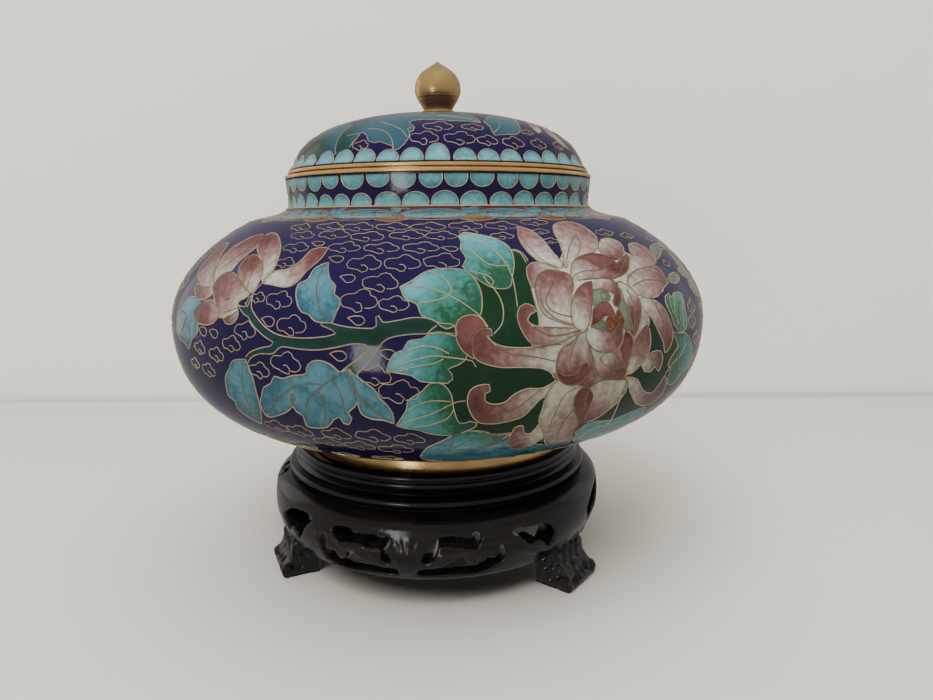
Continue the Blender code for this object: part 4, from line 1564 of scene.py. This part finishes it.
rightVeins = [
    [(300, 180), (380, 198), (450, 236), (512, 302), (547, 370), (565, 450), (575, 526)],
    [(318, 214), (398, 290), (450, 320), (535, 322)],
    [(546, 246), (590, 262), (618, 308)],
    [(10, 426), (100, 424), (200, 450), (300, 500), (390, 568), (430, 622)],
    [(142, 350), (215, 385), (250, 432), (240, 466), (180, 492), (90, 506)],
    [(345, 352), (400, 362), (440, 378), (460, 400), (448, 422), (428, 402), (410, 376)],
    [(452, 424), (490, 480), (507, 545), (498, 610), (460, 656)],
    [(-60, 840), (20, 800), (150, 765), (230, 770), (310, 780), (356, 790), (373, 818)],
    [(0, 775), (30, 745), (100, 718), (180, 725), (240, 754)],
    [(0, 838), (80, 816), (170, 800), (212, 778)],
    [(-10, 1102), (80, 1070), (160, 1045), (230, 1010), (280, 988), (320, 984)],
    [(40, 1030), (90, 1000), (160, 983), (248, 987)],
    [(60, 1112), (150, 1100), (220, 1075), (250, 1050), (264, 1020)],
    [(250, 1226), (330, 1182), (430, 1160), (540, 1143)],
    [(546, 1142), (500, 1170), (380, 1236)],
    [(870, 1165), (960, 1110), (1030, 1082), (1112, 882)],
    [(862, 165), (830, 228), (815, 300)],
    [(862, 165), (884, 220), (868, 270)],
    [(600, 190), (640, 240), (690, 290), (740, 320)],
    [(1140, 422), (1200, 392), (1296, 396)],
    [(1240, 490), (1275, 560), (1300, 640), (1305, 730)],
    [(1110, 440), (1140, 500), (1150, 580), (1144, 650)],
    [(1130, 845), (1170, 770), (1195, 700), (1212, 620)],
    [(430, 668), (470, 715), (540, 752), (640, 764), (762, 790)],
    [(440, 1042), (520, 1045), (600, 998), (690, 925)],
    [(862, 918), (802, 960), (762, 1040), (722, 1132)],
    [(880, 1000), (820, 1060), (775, 1140), (770, 1190)],
    [(755, 400), (728, 450), (714, 500), (740, 540), (790, 562), (846, 572)],
    [(770, 350), (710, 380), (690, 440), (700, 520), (760, 580), (850, 610)],
    [(640, 612), (720, 660), (800, 660), (884, 636)],
    [(880, 645), (850, 720), (832, 790), (845, 848), (872, 850), (890, 810), (912, 797)],
    [(1110, 270), (1060, 380), (990, 384), (900, 392)],
    [(845, 410), (850, 372), (905, 348), (960, 348), (1000, 330)],
    [(1341, 458), (1344, 539), (1363, 606)],
    [(1369, 453), (1383, 527), (1387, 625)],
    [(1318, 472), (1326, 520), (1342, 560)],
    [(1300, 850), (1335, 800), (1372, 760), (1400, 700)],
    [(1330, 378), (1345, 372), (1352, 386), (1340, 394), (1332, 388)],
    [(935, 930), (910, 960), (905, 1010)],
]
stamens = [(998, 468), (1072, 560), (1026, 616), (1110, 614)]
leftClouds = [
    (790, 152, 0.8), (950, 147, 0.9), (1110, 150, 1), (1300, 150, 1), (1500, 150, 1), (800, 198, 0.9),
    (975, 192, 1), (1160, 205, 1), (1380, 197, 1), (762, 265, 0.95), (1030, 265, 1), (1240, 268, 1),
    (1460, 265, 1), (702, 350, 0.65), (1145, 355, 1), (1355, 352, 1), (1235, 462, 1), (1310, 582, 0.8),
    (1113, 562, 1.05), (665, 558, 0.9), (735, 700, 0.95), (548, 545, 0.55), (475, 728, 0.85),
    (398, 805, 0.8), (315, 865, 0.75), (222, 825, 0.7), (272, 952, 0.75), (198, 912, 0.6), (700, 912, 1),
    (553, 953, 0.8), (1200, 985, 0.9), (1335, 1072, 1.1), (1190, 1320, 1), (1115, 1375, 0.95),
    (1320, 1395, 1), (1398, 1338, 0.85), (985, 1310, 0.9), (940, 1352, 0.9), (780, 1292, 0.9),
    (652, 1266, 0.9),
]
leftDrops = [
    (1050, 440), (886, 245), (985, 332), (1102, 676), (1000, 873), (605, 680), (240, 738), (300, 748),
    (1275, 865),
]
rightClouds = [
    (320, 125, 1), (495, 125, 1), (655, 108, 0.9), (200, 175, 0.9), (335, 157, 0.55), (498, 176, 0.7),
    (205, 300, 1), (685, 155, 0.6), (735, 200, 0.55), (1000, 160, 0.8), (1110, 175, 0.7), (1305, 312, 0.5),
    (1427, 520, 0.8), (1432, 590, 0.8), (1448, 672, 0.7),
]
rightDrops = [(245, 240)]
# A vine leaf that runs round the right side. Its near edge is on the right sheet, and the rest is given in
# degrees round the jar and millimetres up its chart.
sideLeaf = {
    "step": 0.9,
    "near": [
        (1268, 208), (1237, 220), (1225, 239), (1243, 270), (1256, 294, 1), (1271, 276), (1280, 245),
        (1305, 251), (1335, 282), (1366, 325, 1), (1360, 343), (1378, 367), (1409, 392), (1421, 429),
        (1445, 465),
    ],
    "far": [
        (68.0, 66.4), (73.0, 63.6, 1), (74.0, 67.6), (73.2, 70.4), (76.5, 70.2), (80.8, 71.0, 1),
        (78.6, 74.0), (76.0, 76.2), (78.8, 78.4), (81.6, 82.4, 1), (77.6, 82.6), (75.2, 83.6),
        (76.4, 87.6, 1), (71.5, 87.2),
    ],
    "tint": [(60.0, 84.0), (78.0, 70.0)],
    "veins": [
        [(54.5, 81.2), (60.0, 84.2), (66.0, 83.2), (68.6, 79.6), (69.2, 76.0), (70.6, 70.4), (72.8, 64.4)],
        [(69.0, 77.4), (74.0, 74.0), (80.0, 71.4)],
        [(68.6, 79.6), (74.0, 79.4), (80.6, 82.0)],
        [(66.0, 83.2), (71.0, 84.4), (75.8, 87.2)],
    ],
}


belly = makeSurface(bellyProfile(34, 26, 10), jar["bellyRadius"])
crown = makeSurface([(lidFootRadius, lidFootZ)] + crownProfile(0.0, 44), lidRadius, dome=True)


def fromSheet(surface, sheet, point):
    x, y = (part / sheet["scale"] for part in point[:2])
    return hitSurface(surface, sheet["left"] + x, sheet["top"] + y)


def drawSheet(surface, sheet, cells, veins):
    made, lines = [], []
    step = sheet["step"]
    for finish, dark, paleEnd, points in cells:
        outline = [fromSheet(surface, sheet, point) for point in smoothLine(points, True, step)]
        ends = [fromSheet(surface, sheet, point) for point in (dark, paleEnd)]
        made.append(cell(finish, outline, *ends))
    for points in veins:
        lines.append([fromSheet(surface, sheet, point) for point in smoothLine(points, False, step)])
    return made, lines


def turned(surface, line, degrees):
    places = [unchart(surface, point) for point in line]
    return [chart(surface, angle + math.radians(degrees), v) for angle, v in places]


def turnedCell(surface, source, degrees):
    ends = turned(surface, [source["dark"], source["pale"]], degrees)
    return cell(source["finish"], turned(surface, source["outline"], degrees), *ends)


def wiresOf(cells, veins):
    # A wire round each cell, where no later cell lies over it, and the veins.
    strokes = []
    for index, item in enumerate(cells):
        strokes += visibleParts(item["outline"] + item["outline"][:1], cells[index + 1 :])
    return strokes + veins


def splitWires(strokes, cells):
    # Wires between two of the cells get a darker gold, a painted dark reflection of the dim room their polish
    # mirrors. Those against the ground stay bright.
    reach = 0.0004  # how far either side of a wire is looked at, in metres
    steps = [Vector(step) * reach for step in ((1, 0), (-1, 0), (0, 1), (0, -1))]
    inner, outer = [], []
    for line in strokes:
        within = [all(covered(point + step, cells) for step in steps) for point in line]
        start = 0
        for index in range(1, len(line)):
            if within[index] != within[start]:
                (inner if within[start] else outer).append(line[start : index + 1])
                start = index
        if start < len(line) - 1:
            (inner if within[start] else outer).append(line[start:])
    return inner, outer


cloudShape = [
    (-0.17, -0.13), (0.06, -0.15), (0.25, -0.36), (0.18, -0.58), (-0.04, -0.62), (-0.28, -0.46),
    (-0.50, -0.38), (-0.80, -0.34), (-0.98, -0.12), (-0.97, 0.14), (-0.76, 0.32), (-0.40, 0.34),
    (-0.20, 0.38), (-0.04, 0.55), (0.22, 0.62), (0.46, 0.50), (0.60, 0.26), (0.88, 0.14), (1.0, -0.10),
    (0.88, -0.34), (0.62, -0.44), (0.34, -0.42),
]
dropShape = [
    (-1.0, 0.25), (-0.3, 0.50), (0.5, 0.45), (0.9, 0.0), (0.6, -0.45), (0.0, -0.50), (-0.5, -0.15),
    (-1.0, 0.25),
]
clouds = {
    "halfWidth": 0.0042,
    "dropWidth": 0.0021,
    "sizes": (0.9, 1.04),
    "pitch": 0.0114,
    "rise": 0.0049,
    "aside": 0.04,
    "upDown": 0.0003,
    "wobble": 0.045,
    "flat": 0.78,
    "flatFrom": 0.084,
    "gap": 0.0092,
    "gapRise": 1.8,
    "margin": 1.2,
    "step": 0.24,
    "bellyRows": (0.0240, 0.0975),
    "lidRows": (0.0082, 0.0390),
}


def placeShape(surface, shape, spot, size, rough=True):
    angle, v = unchart(surface, spot)
    place = onSurface(surface, spot)
    radius = max(math.hypot(place.x - surface["shift"], place.y), 0.004)
    tall = size * (clouds["flat"] if v > clouds["flatFrom"] else 1.0)
    wobble = clouds["wobble"] if rough else 0.0
    bent = [(x + dice.uniform(-wobble, wobble), y + dice.uniform(-wobble, wobble)) for x, y in shape]
    if shape[0] == shape[-1]:
        bent[-1] = bent[0]
    line = smoothLine(bent, False, clouds["step"])
    return [chart(surface, angle + x * size / radius, v + y * tall) for x, y in line]


def rowClouds(surface, cells, low, high, taken, free):
    # Staggered rows of clouds where nothing is drawn, and a drop in a gap that is too small for one.
    found = []
    wholeTurn = Vector((0.0 if surface["dome"] else math.tau * surface["spread"], 0.0))
    v = low
    row = 0
    while v < high:
        place = onSurface(surface, chart(surface, 0.0, v))
        radius = math.hypot(place.x - surface["shift"], place.y)
        count = max(3, round(math.tau * radius / clouds["pitch"]))
        for index in range(count):
            aside = dice.uniform(-clouds["aside"], clouds["aside"])
            angle = (index + 0.5 * (row % 2) + aside) * math.tau / count - math.pi
            spot = chart(surface, angle, v + dice.uniform(-clouds["upDown"], clouds["upDown"]))
            if not free(angle, v):
                continue
            place = onSurface(surface, spot)
            gaps = [place - other for other in taken]
            near = clouds["gap"] ** 2
            if any(gap.xy.length_squared + (clouds["gapRise"] * gap.z) ** 2 < near for gap in gaps):
                continue
            cloudSize = clouds["halfWidth"] * dice.uniform(*clouds["sizes"])
            for shape, size in ((cloudShape, cloudSize), (dropShape, clouds["dropWidth"])):
                around = placeShape(surface, shape, spot, size * clouds["margin"], False)
                shifted = [point + wholeTurn * turns for point in around for turns in (-1, 0, 1)]
                if not any(covered(point, cells) for point in shifted):
                    found.append(placeShape(surface, shape, spot, size))
                    break
        row += 1
        v += clouds["rise"]
    return found


def makeBellyDecoration():
    leftMade, leftLines = drawSheet(belly, leftSheet, leftCells, leftVeins)
    rightMade, rightLines = drawSheet(belly, rightSheet, rightCells, rightVeins)
    radius = 0.0010
    turns = [math.radians(45 * step) for step in range(9)]
    ring = [Vector((math.cos(turn), math.sin(turn))) * radius for turn in turns]
    for spot in stamens:
        rightLines.append([fromSheet(belly, rightSheet, spot) + point for point in ring])

    def onSide(point):
        return chart(belly, math.radians(point[0]), point[1] / 1000)

    def sidePoint(point):
        # a point of the right sheet in degrees and millimetres, to a tenth of each
        angle, v = unchart(belly, fromSheet(belly, rightSheet, point))
        return (round(math.degrees(angle), 1), round(1000 * v, 1), *point[2:])

    step = sideLeaf["step"]
    outline = [sidePoint(point) for point in sideLeaf["near"]] + sideLeaf["far"]
    side = [onSide(point) for point in smoothLine(outline, True, step)]
    rightMade.append(cell(pale, side, *map(onSide, sideLeaf["tint"])))
    rightLines += [[onSide(point) for point in smoothLine(line, False, step)] for line in sideLeaf["veins"]]
    # cells whose inner wires get the darker gold of painted dark reflection
    darkWireCells = [item for item in leftMade + rightMade if item["finish"] in (petal, maroon, heart, pale, teal)]
    leftInner, leftOuter = splitWires(wiresOf(leftMade, leftLines), darkWireCells)
    rightInner, rightOuter = splitWires(wiresOf(rightMade, rightLines), darkWireCells)
    # the hidden side has one more spray, without the great flower
    spray = 218.0
    cells = leftMade[:1] + rightMade + leftMade[1:] + [turnedCell(belly, item, spray) for item in leftMade]
    inner = leftInner + rightInner + [turned(belly, line, spray) for line in leftInner]
    outer = leftOuter + rightOuter + [turned(belly, line, spray) for line in leftOuter]
    makeInlay("belly_flowers", belly, cells, finishes)
    makeWires("belly_wires", belly, outer, wireGold)
    makeWires("petal_wires", belly, inner, wireGoldPaintedDark)
    print("flowers made", len(cells), "cells")
    chosen, taken = [], []
    for sheet, spots in ((leftSheet, leftClouds), (rightSheet, rightClouds)):
        for x, y, size in spots:
            spot = fromSheet(belly, sheet, (x, y))
            taken.append(onSurface(belly, spot))
            chosen.append(placeShape(belly, cloudShape, spot, clouds["halfWidth"] * size))
    for sheet, spots in ((leftSheet, leftDrops), (rightSheet, rightDrops)):
        for point in spots:
            spot = fromSheet(belly, sheet, point)
            taken.append(onSurface(belly, spot))
            chosen.append(placeShape(belly, dropShape, spot, clouds["dropWidth"]))
    seenLeft, seenRight, seenLow = math.radians(-62), math.radians(57), 0.029

    def hidden(angle, v):
        return v < seenLow or not seenLeft < angle < seenRight

    chosen += rowClouds(belly, cells, *clouds["bellyRows"], taken, hidden)
    makeWires("cloud_wires", belly, chosen, wireGold, radius=wireSizes["clouds"], lift=0.00001)
    print("clouds made", len(chosen))


makeBellyDecoration()


# Rows of beads, the scalloped band at the neck and the drawing on the lid

# Middles of the beads that the photograph shows, in its pixels. Those on the hidden side are spread evenly.
rimBeads = {
    "spots": [
        292.7, 301.3, 314.1, 329.9, 352.3, 377.9, 403.4, 430.9, 456.3, 482.3,
        507.9, 528.8, 548.2, 563.5, 575.7, 583.9,
    ],
    "line": 180.0,
    "tall": 0.0,
    "edge": 0.1188,
    "tip": 0.1152,
}
neckBeads = {
    "spots": [
        293.7, 300.8, 311.7, 325.8, 341.6, 361.5, 387.6, 415.6, 445.0, 473.7,
        501.2, 523.7, 544.1, 561.4, 574.7, 584.9,
    ],
    "line": 200.0,
    "tall": -0.08,
    "edge": 0.1107,
    "tip": 0.1143,
}
lidBeads = {
    "spots": [
        301.8, 311.3, 326.4, 344.2, 364.9, 387.7, 411.7, 437.6, 465.2, 489.1,
        511.3, 532.5, 549.3, 563.4, 574.3, 580.8,
    ],
    "line": 158.0,
    "tall": 0.22,
    "edge": 0.0001,
    "tip": 0.0041,
}


# A bead's arch of wire starts a little inside its widest place. One bead of the row may be taller.
beads = {"steps": 16, "start": 0.3, "halfWidth": 0.465, "heights": (0.88, 1.08), "tallOne": 7}


def archOf(item):
    return item["outline"][: beads["steps"] + 1]


def beadAngles(surface, row):
    seen = [unchart(surface, hitSurface(surface, x, row["line"]))[0] for x in row["spots"]]
    pitch = (seen[-3] - seen[2]) / (len(seen) - 5)
    left = seen[-1]
    right = seen[0] + math.tau
    count = round((right - left) / pitch)
    return seen + [left + (right - left) * index / count for index in range(1, count)]


def beadCells(surface, row):
    # Each bead is an arch of wire on the row's edge, a little higher or lower than its neighbours.
    angles = beadAngles(surface, row)
    cells = []
    low = beads["start"]
    for index, middle in enumerate(angles):
        before = angles[index - 1] - (math.tau if index == 0 else 0.0)
        after = angles[(index + 1) % len(angles)] + (math.tau if index == len(angles) - 1 else 0.0)
        half = beads["halfWidth"] * min(middle - before, after - middle)
        taller = row["tall"] if index == beads["tallOne"] else 0.0
        tip = row["edge"] + (row["tip"] - row["edge"]) * (dice.uniform(*beads["heights"]) + taller)
        arch = []
        for step in range(beads["steps"] + 1):
            bend = -low + (math.pi + 2 * low) * step / beads["steps"]
            rise = (math.sin(bend) + math.sin(low)) / (1 + math.sin(low))
            height = row["edge"] + (tip - row["edge"]) * rise
            arch.append(chart(surface, middle - half * math.cos(bend), height))
        # the flat side follows the curve of the wall
        arch += [chart(surface, middle + half * share, row["edge"]) for share in (0.6, 0.2, -0.2, -0.6)]
        cells.append(cell(bead, arch, chart(surface, middle, tip), chart(surface, middle, row["edge"])))
    return cells


# "first" and "line" are the pixel of one scallop's middle, and "ring" is the gold line over them.
scallops = {
    "count": 17, "first": 434.5, "line": 215.0, "top": 0.1096, "depth": 0.0104, "ring": 0.1104, "step": 0.12,
}


def scallopCells():
    # Flat cloud heads side by side, with an amber leaf between each two. The lines are half outlines.
    step = math.tau / scallops["count"]
    first = unchart(belly, hitSurface(belly, scallops["first"], scallops["line"]))[0]
    parts = [
        (rust, 0.0, [(0.50, 0.0), (0.50, 0.80), (0.36, 0.90), (0.18, 0.99), (0.0, 1.01)]),
        (amber, 0.5, [(0.0, 0.46), (0.08, 0.66), (0.23, 0.88), (0.12, 1.03), (0.0, 1.10)]),
        (teal, 0.5, [(0.0, 0.02), (0.13, 0.02), (0.07, 0.26), (0.0, 0.32)]),
        (teal, 0.0, [(0.0, 0.05), (0.25, 0.07), (0.43, 0.30), (0.40, 0.58), (0.25, 0.78), (0.0, 0.84)]),
        (rust, 0.0, [(0.10, 0.17), (0.27, 0.21), (0.34, 0.40), (0.22, 0.36), (0.10, 0.30)]),
        (leaf, 0.0, [(0.0, 0.40), (0.12, 0.44), (0.15, 0.56), (0.10, 0.68), (0.0, 0.70)]),
        (heart, 0.0, [(0.0, 0.47), (0.07, 0.51), (0.07, 0.60), (0.0, 0.64)]),
    ]
    cells = []
    for finish, offset, half in parts:
        # an outline that starts off the middle and below the top is a cell on each side
        apart = half[0][0] > 0 and half[0][1] > 0
        for index in range(scallops["count"]):
            middle = first + (index + offset) * step
            sides = [half + [(-x, y) for x, y in reversed(half) if x > 0]]
            if apart:
                sides = [half, [(-x, y) for x, y in reversed(half)]]
            for side in sides:
                spots = smoothLine(side, True, scallops["step"])
                outline = [
                    chart(belly, middle + x * step, scallops["top"] - y * scallops["depth"]) for x, y in spots
                ]
                cells.append(cell(finish, outline))
    return cells


def ringAt(surface, v):
    count = 150
    line = [chart(surface, math.tau * index / count, v) for index in range(count)]
    return line + line[:1]


def makeNeckBands():
    cells = scallopCells()
    scallopWires = wiresOf(cells, [])
    rim, low = beadCells(belly, rimBeads), beadCells(belly, neckBeads)
    makeInlay("neck_enamels", belly, cells + rim + low, finishes)
    arches = [archOf(item) for item in rim + low]
    makeWires("neck_wires", belly, arches, wireGold, radius=wireSizes["arches"])
    makeWires("scallop_wires", belly, scallopWires, wireGold, radius=wireSizes["scallops"])
    makeWires("neck_line", belly, [ringAt(belly, scallops["ring"])], wireGold, radius=wireSizes["line"])
    print("neck bands made")


lidSheet = {"left": 270, "top": 100, "scale": 8.96, "step": 40.0}
lidCells = [
    (lidLeaf, (400, 430), (640, 260), [
        (215, 640), (250, 540), (330, 440), (420, 350), (520, 285), (640, 235), (760, 230), (760, 330),
        (735, 390), (680, 460), (600, 490), (520, 500), (440, 510), (330, 560),
    ]),
    (lidLeaf, (560, 430), (900, 300), [
        (590, 490), (640, 470), (690, 455), (738, 392), (792, 330), (806, 303), (836, 292), (866, 318),
        (885, 372), (940, 386), (980, 373), (1040, 394), (1095, 412), (1106, 450), (1150, 442),
        (1206, 390), (1246, 330), (1252, 292), (1285, 275), (1295, 244), (1270, 226), (1246, 202),
        (1290, 187), (1400, 177), (1531, 181), (1628, 190), (1774, 194), (1890, 209, 1), (1842, 162),
        (1725, 128), (1628, 114), (1400, 112), (1200, 125), (1000, 155), (850, 200), (720, 245),
        (650, 300), (600, 380),
    ]),
    (lidLeaf, (1700, 400), (2100, 220), [
        (1915, 194, 1), (1965, 235), (1992, 285), (2016, 318), (2056, 312), (2134, 308), (2202, 312),
        (2234, 292), (2240, 255), (2225, 215), (2192, 180), (2114, 148), (2018, 138), (1950, 155),
    ]),
    (petal, (2300, 200), (2400, 290), [
        (2298, 198, 1), (2330, 198), (2372, 230), (2412, 262), (2430, 288), (2405, 298), (2365, 264),
        (2328, 228),
    ]),
    (petal, (2450, 250), (2640, 420), [
        (2449, 254, 1), (2480, 262), (2552, 320), (2620, 384), (2674, 444, 1), (2624, 410), (2542, 340),
        (2484, 292),
    ]),
]
lidVeins = [
    [(880, 262), (960, 262), (1040, 290), (1085, 340), (1102, 400), (1108, 440)],
    [(690, 322), (750, 312), (800, 300)],
    [(1000, 200), (1100, 230), (1180, 270), (1225, 330)],
    [(1250, 292), (1235, 262), (1250, 245), (1270, 250)],
    [(560, 520), (600, 470), (690, 455)],
    [(1990, 290), (2014, 290), (2050, 250), (2060, 200)],
    [(1500, 140), (1640, 150), (1780, 170), (1890, 205)],
]
lidClouds = [
    (360.4, 145.2, 0.6), (424, 137.2, 0.92), (437.9, 126, 0.95), (472.3, 127.1, 0.7), (459.5, 137.8, 0.95),
    (487.5, 140.1, 0.68), (513.5, 142.3, 0.78), (538.5, 143.9, 0.7), (527, 132.5, 0.5), (558, 145.6, 0.6),
]


def makeLidDecoration():
    cells, veins = drawSheet(crown, lidSheet, lidCells, lidVeins)
    row = beadCells(crown, lidBeads)
    # the same leaves once more on the hidden half
    spray = 175.0
    back = [turnedCell(crown, item, spray) for item in cells]
    strokes = wiresOf(cells, veins)
    strokes += [turned(crown, line, spray) for line in strokes]
    strokes = [part for line in strokes for part in visibleParts(line, row)]
    makeInlay("lid_enamels", crown, back + cells + row, finishes, grid=0.0018)
    chosen, taken = [], []
    for x, y, size in lidClouds:
        spot = hitSurface(crown, x, y)
        taken.append(onSurface(crown, spot))
        chosen.append(placeShape(crown, cloudShape, spot, clouds["halfWidth"] * size))
    seen = math.radians(62)

    def hidden(angle, v):
        return abs(angle) > seen

    chosen += rowClouds(crown, back + cells, *clouds["lidRows"], taken, hidden)
    arches = [archOf(item) for item in row]
    makeWires("lid_wires", crown, strokes + chosen + arches, wireGold, radius=wireSizes["arches"])
    print("lid drawing made", len(chosen), "clouds")


makeNeckBands()
makeLidDecoration()


# The table, the wall and the light


room = {
    "back": 0.19,
    "front": -1.2,
    "wide": 1.6,
    "low": -0.6,
    "high": 1.6,
    "gap": 0.004,
    "table": (0.52, 0.51, 0.45),
    "tableRough": 0.5,
    "wall": (0.77, 0.765, 0.70),
    "wallRough": 0.8,
    "air": (1.0, 0.975, 0.93),
    "airPower": 0.36,
}


def makeStage():
    def sheet(name, corners, colour, roughness):
        work = bmesh.new()
        work.faces.new([work.verts.new(corner) for corner in corners])
        mesh = meshOf(name, work)
        material, tree, shader = startMaterial(name)
        shader.inputs["Base Color"].default_value = (*colour, 1)
        shader.inputs["Roughness"].default_value = roughness
        mesh.materials.append(material)
        item = addItem(name, mesh)
        # the polished pieces mirror the room, not the sheets behind and under them
        item.visible_glossy = False
        return tree, shader

    wide, back, front = room["wide"], room["back"], room["front"]
    corners = [(-wide, front, 0), (wide, front, 0), (wide, back, 0), (-wide, back, 0)]
    sheet("table", corners, room["table"], room["tableRough"])
    away, low, high = back + room["gap"], room["low"], room["high"]
    corners = [(-wide, away, low), (wide, away, low), (wide, away, high), (-wide, away, high)]
    tree, shader = sheet("wall", corners, room["wall"], room["wallRough"])
    # seen from behind, the wall lets the view through
    behind = addNode(tree, "ShaderNodeNewGeometry", -300, 300)
    clear = addNode(tree, "ShaderNodeBsdfTransparent", 0, 300)
    choice = addNode(tree, "ShaderNodeMixShader", 350, 200)
    tree.links.new(choice.outputs["Shader"], tree.nodes["Material Output"].inputs["Surface"])
    joinUp(
        tree,
        (behind, "Backfacing", choice, "Fac"),
        (shader, "BSDF", choice, 1),
        (clear, "BSDF", choice, 2),
    )


lamps = {
    "window": {
        "place": (-0.58, -1.22, -0.07), "aim": (0, 0, 0.08), "width": 0.26, "height": 0.55,
        "power": 3.0, "colour": (1.0, 0.99, 0.96), "mirrored": True,
    },
    "softbox": {
        "place": (-0.5, -0.95, 1.35), "aim": (0, 0, 0.05), "width": 1.0, "height": 1.0,
        "power": 38.0, "colour": (1.0, 0.985, 0.95), "mirrored": False,
    },
    "ceiling": {
        "place": (0.2, -0.4, 1.5), "aim": (0, 0, 0), "width": 1.6, "height": 1.4,
        "power": 38.0, "colour": (1.0, 0.99, 0.96), "mirrored": False,
    },
    "leftPanel": {
        "place": (-1.0, 0.6, 0.35), "aim": (0, 0, 0.1), "width": 0.6, "height": 0.9,
        "power": 0.75, "colour": (1.0, 0.97, 0.92), "mirrored": True,
    },
    "rightPanel": {
        "place": (1.05, 0.55, 0.35), "aim": (0, 0, 0.1), "width": 0.6, "height": 0.9,
        "power": 0.35, "colour": (1.0, 0.97, 0.92), "mirrored": True,
    },
}


def makeLight():
    world = bpy.data.worlds.new("room")
    bpy.context.scene.world = world
    world.use_nodes = True
    back = world.node_tree.nodes["Background"]
    back.inputs["Color"].default_value = (*room["air"], 1)
    back.inputs["Strength"].default_value = room["airPower"]
    # only for what the polished pieces mirror: the lamps light the rest, so hollows stay dark
    world.cycles_visibility.diffuse = False
    for name, lamp in lamps.items():
        data = bpy.data.lights.new(name, "AREA")
        data.shape = "RECTANGLE"
        data.size = lamp["width"]
        data.size_y = lamp["height"]
        data.energy = lamp["power"]
        data.color = lamp["colour"]
        item = addItem(name, data)
        item.location = lamp["place"]
        along = Vector(lamp["aim"]) - Vector(lamp["place"])
        item.rotation_euler = along.to_track_quat("-Z", "Y").to_euler()
        item.visible_glossy = lamp["mirrored"]
        item.visible_camera = False


makeStage()
makeLight()
print("stage made")
